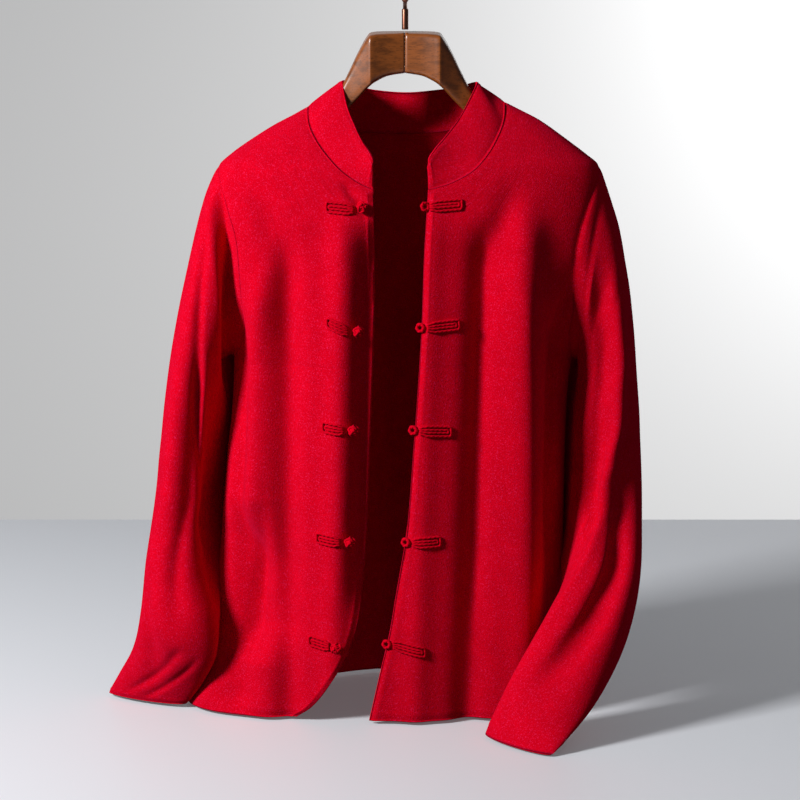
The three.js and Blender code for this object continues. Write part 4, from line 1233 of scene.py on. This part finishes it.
def ball(centre, radius, around, up):
    """Returns a closed ball of rings with its two poles closed by small four sided faces."""
    turn = turns(around)
    height = np.linspace(-math.pi / 2 + 0.12, math.pi / 2 - 0.12, up)
    rings = np.stack([
        np.cos(height)[:, None] * np.cos(turn), np.cos(height)[:, None] * np.sin(turn),
        np.repeat(np.sin(height)[:, None], around, axis=1),
    ], axis=-1)
    verts, faces = rounds(rings * radius + centre)
    return turned_out(verts, faces, verts[:, 0])


class CARDIGAN_OT_frogs(bpy.types.Operator):
    """Makes the five frog fastenings"""

    bl_idname = "cardigan.frogs"
    bl_label = "Frogs"

    def execute(self, context):
        radius = context.scene.cardigan.cord_width / MM / 2
        cord = bpy.data.materials["frog_cord"]
        for i, (end, end_z, knot, knot_z, ring, ring_z, far, far_z) in enumerate(FROGS, 1):
            knot_side = knot - KNOT_RADIUS - FROG_GAP
            ring_side = ring + RING_OUTSIDE + FROG_GAP
            left = strap_parts(end, end_z, knot_side, knot_z, radius, -1)
            left += knot_parts(knot, knot_z, radius)
            right = strap_parts(ring_side, ring_z, far, far_z, radius, 1)
            right += ring_parts(ring, ring_z)
            left_nodes = [f"frog_{i}_strap_left", f"frog_{i}_knot"]
            right_nodes = [f"frog_{i}_ring", f"frog_{i}_strap_right"]
            add_piece(f"frog_{i}_left", joined(left), cord, left_nodes)
            add_piece(f"frog_{i}_right", joined(right), cord, right_nodes)
        return {"FINISHED"}


def hanger_half(side):
    """Returns one half of the hanger: smooth sections from the glue line to the tip.

    Each section is a superellipse between its top, bottom, front and back. Past the neck
    its top lies under the shoulder by the wall and a clearance.
    """
    reach = left_reach if side < 0 else right_reach
    heights = np.linspace(NECK_POINT_Z + 10, ARMHOLE_Z + ARMHOLE_HALF, 2000)
    stretch = 1.0 if side < 0 else RIGHT_ARM_STRETCH

    def shoulder_z(x):
        z = np.interp(x, reach(heights), heights)
        return z + tilt_at(side * x, z)

    stations = list(BLOCK)
    for x, height, half, boxy in ARM:
        place = x * stretch
        slope = shoulder_z(place + 2) - shoulder_z(place - 2)
        top = shoulder_z(place) - WALL * math.hypot(1, slope / 4) - WOOD_CLEARANCE
        stations.append((place, top, top - height, -half, half, boxy))
    end = stations[-1][0]
    xs = stretches((GLUE_LINE / 2, 12), *HANGER_STEPS, (end, 0))
    top, bottom, front, back, boxy = (through(stations, 0, i)(xs)[:, None] for i in range(1, 6))
    turn = 2 * math.pi * (np.arange(HANGER_SIDES) + 0.5)[None] / HANGER_SIDES
    c, k = np.cos(turn), np.sin(turn)
    y = (front + back) / 2 + (back - front) / 2 * np.sign(c) * np.abs(c) ** (2 / boxy)
    z = (top + bottom) / 2 + (top - bottom) / 2 * np.sign(k) * np.abs(k) ** (2 / boxy)
    near_top = ease((z - (top + bottom) / 2) / SLOPE_DEPTH)
    z -= TOP_SLOPE * (back - y) * near_top * ease((SLOPE_END - xs[:, None]) / SLOPE_FADE)
    points = np.stack([np.broadcast_to(side * xs[:, None], y.shape), y, z], axis=-1)
    tips = np.stack([lerp(points[-1], points[-1].mean(axis=0), s) for s in (0.25, 0.6, 0.85)])
    tips[..., 0] += side * ARM_TIP * np.array([0.55, 0.9, 1.0])[:, None]
    verts, faces = rounds(np.concatenate([points, tips]))
    return turned_out(verts, faces, verts[:, 0])


def wood_look(colour):
    """Makes polished dark wood: long warped bands along the board under a clear coat."""
    look = Look(
        "walnut", Roughness=0.4, Coat_Weight=0.5, Coat_Roughness=0.22, Specular_IOR_Level=0.3,
    )
    place = look.node("ShaderNodeTexCoord").outputs["Object"]
    long_way = look.node("ShaderNodeMapping", i0=place, i3=(2.2, 60.0, 60.0)).outputs[0]
    warp = look.noise(long_way, 1.4, 4.0, 0.6)
    rings = look.math("SINE", look.math("MULTIPLY", warp, 16.0))
    fine_way = look.node("ShaderNodeMapping", i0=place, i3=(60.0, 900.0, 900.0)).outputs[0]
    pores = look.noise(fine_way, 1.0, 2.0)
    grain = look.ramp(rings, -1.0, 1.0)
    base = look.mix(grain, [c * 0.7 for c in colour], [min(1, c * 1.3) for c in colour])
    look.set("Base Color", look.mix(look.ramp(pores, 0.55, 0.75), base, [c * 0.5 for c in colour]))
    bump = look.node("ShaderNodeBump", Strength=0.15, Distance=0.0004, Height=pores)
    look.set("Normal", bump.outputs[0])
    return look.material


class CARDIGAN_OT_hanger(bpy.types.Operator):
    """Makes the two halves of the wooden hanger"""

    bl_idname = "cardigan.hanger"
    bl_label = "Hanger"

    def execute(self, context):
        wood = bpy.data.materials["walnut"]
        for side, name in ((-1, "left"), (1, "right")):
            add_piece(f"hanger_{name}_wood", hanger_half(side), wood, [f"hanger_{name}"])
        return {"FINISHED"}


def hook_line(count):
    """Returns the hook's middle line: a bend up from the block, then an arc round the rail."""
    start, end = (math.radians(a) for a in HOOK_TURNS)
    foot = np.array([0.0, 0.0, STEM_TOP - HOOK_SINK])
    first = np.array([
        0.0, HOOK_RADIUS * math.cos(start), HOOK_CENTRE_Z + HOOK_RADIUS * math.sin(start)
    ])
    pulls = [foot, foot + BEND_PULLS[0], first + BEND_PULLS[1], first]
    t = np.linspace(0, 1, round(count * BEND_SHARE))[:-1, None]
    bend = sum(
        math.comb(3, i) * t ** i * (1 - t) ** (3 - i) * pull for i, pull in enumerate(pulls)
    )
    turn = np.linspace(start, end, round(count * (1 - BEND_SHARE)))
    arc = np.stack([
        np.zeros_like(turn), HOOK_RADIUS * np.cos(turn), HOOK_CENTRE_Z + HOOK_RADIUS * np.sin(turn)
    ], axis=-1)
    return np.vstack([bend, arc])


class CARDIGAN_OT_hook(bpy.types.Operator):
    """Makes the hook with its stem and ball end"""

    bl_idname = "cardigan.hook"
    bl_label = "Hook"

    def execute(self, context):
        line = hook_line(HOOK_POINTS)
        ups = np.tile([1.0, 0.0, 0.0], (len(line), 1))
        wire = cord_tube(line, ups, WIRE / 2, sides=24, lay=0.0)
        heights = np.array([
            STEM_FOOT, STEM_FOOT + 0.5, STEM_FOOT + 1.2, STEM_TOP - 1.4, STEM_TOP - 0.5, STEM_TOP
        ])
        widths = np.array([0.97, 1.0, 1.0, 1.0, 0.95, 0.75]) * STEM_WIDTH / 2
        stem = lathe(heights, widths, 32)
        tip = ball(line[-1], BALL_RADIUS, 28, 16)
        metal = bpy.data.materials["hook_brass"]
        add_piece("hook_wire", joined([wire, stem, tip]), metal, ["hook"])
        return {"FINISHED"}


def lathe(heights, widths, around):
    """Returns a closed turned form about the hook's axis."""
    turn = turns(around)
    verts, faces = rounds(np.stack([
        widths[:, None] * np.cos(turn), widths[:, None] * np.sin(turn),
        np.repeat(heights[:, None], around, axis=1),
    ], axis=-1))
    return turned_out(verts, faces, verts[:, 0])


class CARDIGAN_OT_looks(bpy.types.Operator):
    """Makes the four materials"""

    bl_idname = "cardigan.looks"
    bl_label = "Materials"

    def execute(self, context):
        settings = context.scene.cardigan
        wool("wool", list(settings.cloth_colour), settings.grain, 0.2, 0.5)
        wool("frog_cord", list(settings.cord_colour), settings.grain * 0.7, 0.1, 0.15)
        wood_look(list(settings.wood_colour))
        metal = Look("hook_brass", Metallic=1.0, Roughness=0.35)
        metal.surface.inputs["Base Color"].default_value = (*settings.metal_colour, 1.0)
        return {"FINISHED"}


def plane(name, corners, colour, roughness, glow):
    """Makes one flat face of the stage, which throws no light back at the cloth."""
    mesh = bpy.data.meshes.new(name)
    mesh.from_pydata(corners, [], [(0, 1, 2, 3)])
    surface = bpy.data.objects.new(name, mesh)
    bpy.context.scene.collection.objects.link(surface)
    look = Look(name, Roughness=roughness, Specular_IOR_Level=0.2)
    look.surface.inputs["Base Color"].default_value = (*colour, 1.0)
    look.surface.inputs["Emission Color"].default_value = (*colour, 1.0)
    look.surface.inputs["Emission Strength"].default_value = glow
    surface.visible_diffuse = False
    mesh.materials.append(look.material)


def area_light(name, place, aim, size, power, spread):
    """Adds a square white light at a place, aimed at a point."""
    data = bpy.data.lights.new(name, "AREA")
    data.size = size
    data.energy = power
    data.spread = math.radians(spread)
    light = bpy.data.objects.new(name, data)
    light.location = place
    way = np.array(aim, float) - np.array(place, float)
    flat = math.hypot(way[0], way[1])
    light.rotation_euler = (math.atan2(flat, -way[2]), 0, math.atan2(-way[0], way[1]))
    bpy.context.scene.collection.objects.link(light)


class CARDIGAN_OT_stage(bpy.types.Operator):
    """Makes the floor, the backdrop, the lights and the camera"""

    bl_idname = "cardigan.stage"
    bl_label = "Stage"

    def execute(self, context):
        scene = context.scene
        low = [(-5, -4), (5, -4), (5, FLOOR_END_Y), (-5, FLOOR_END_Y)]
        plane("floor", [(x, y, FLOOR_Z) for x, y in low], *FLOOR_LOOK)
        high = [(-6, -4), (6, -4), (6, 4), (-6, 4)]
        plane("backdrop", [(x, WALL_Y, z) for x, z in high], *WALL_LOOK)
        for light in LIGHTS:
            area_light(*light)
        world = bpy.data.worlds.new("air")
        world.use_nodes = True
        air = world.node_tree.nodes["Background"]
        air.inputs[0].default_value, air.inputs[1].default_value = AIR
        scene.world = world
        scene.view_settings.view_transform = "Standard"
        camera_data = bpy.data.cameras.new("camera")
        camera_data.lens = LENS
        camera_data.sensor_width = 36.0
        camera = bpy.data.objects.new("camera", camera_data)
        camera.location = CAMERA_PLACE
        camera.rotation_euler = (math.radians(CAMERA_TILT), 0, 0)
        scene.collection.objects.link(camera)
        scene.camera = camera
        return {"FINISHED"}


class CARDIGAN_PT_panel(bpy.types.Panel):
    """Lists the cardigan's operators and settings"""

    bl_idname = "CARDIGAN_PT_panel"
    bl_label = "Cardigan"
    bl_space_type = "VIEW_3D"
    bl_region_type = "UI"
    bl_category = "Cardigan"

    def draw(self, context):
        for name in CardiganSettings.__annotations__:
            self.layout.prop(context.scene.cardigan, name)
        for operator in OPERATORS:
            self.layout.operator(operator.bl_idname)


OPERATORS = (
    CARDIGAN_OT_looks, CARDIGAN_OT_fronts, CARDIGAN_OT_back, CARDIGAN_OT_sleeves,
    CARDIGAN_OT_collar, CARDIGAN_OT_frogs, CARDIGAN_OT_hanger, CARDIGAN_OT_hook,
    CARDIGAN_OT_stage,
)


def register():
    """Registers the settings, the operators and the panel."""
    for cls in (CardiganSettings, *OPERATORS, CARDIGAN_PT_panel):
        bpy.utils.register_class(cls)
    bpy.types.Scene.cardigan = bpy.props.PointerProperty(type=CardiganSettings)


def unregister():
    """Removes what register added."""
    del bpy.types.Scene.cardigan
    for cls in (CARDIGAN_PT_panel, *reversed(OPERATORS), CardiganSettings):
        bpy.utils.unregister_class(cls)


def main():
    register()
    for operator in OPERATORS:
        group, name = operator.bl_idname.split(".")
        getattr(getattr(bpy.ops, group), name)()


if __name__ == "__main__":
    main()
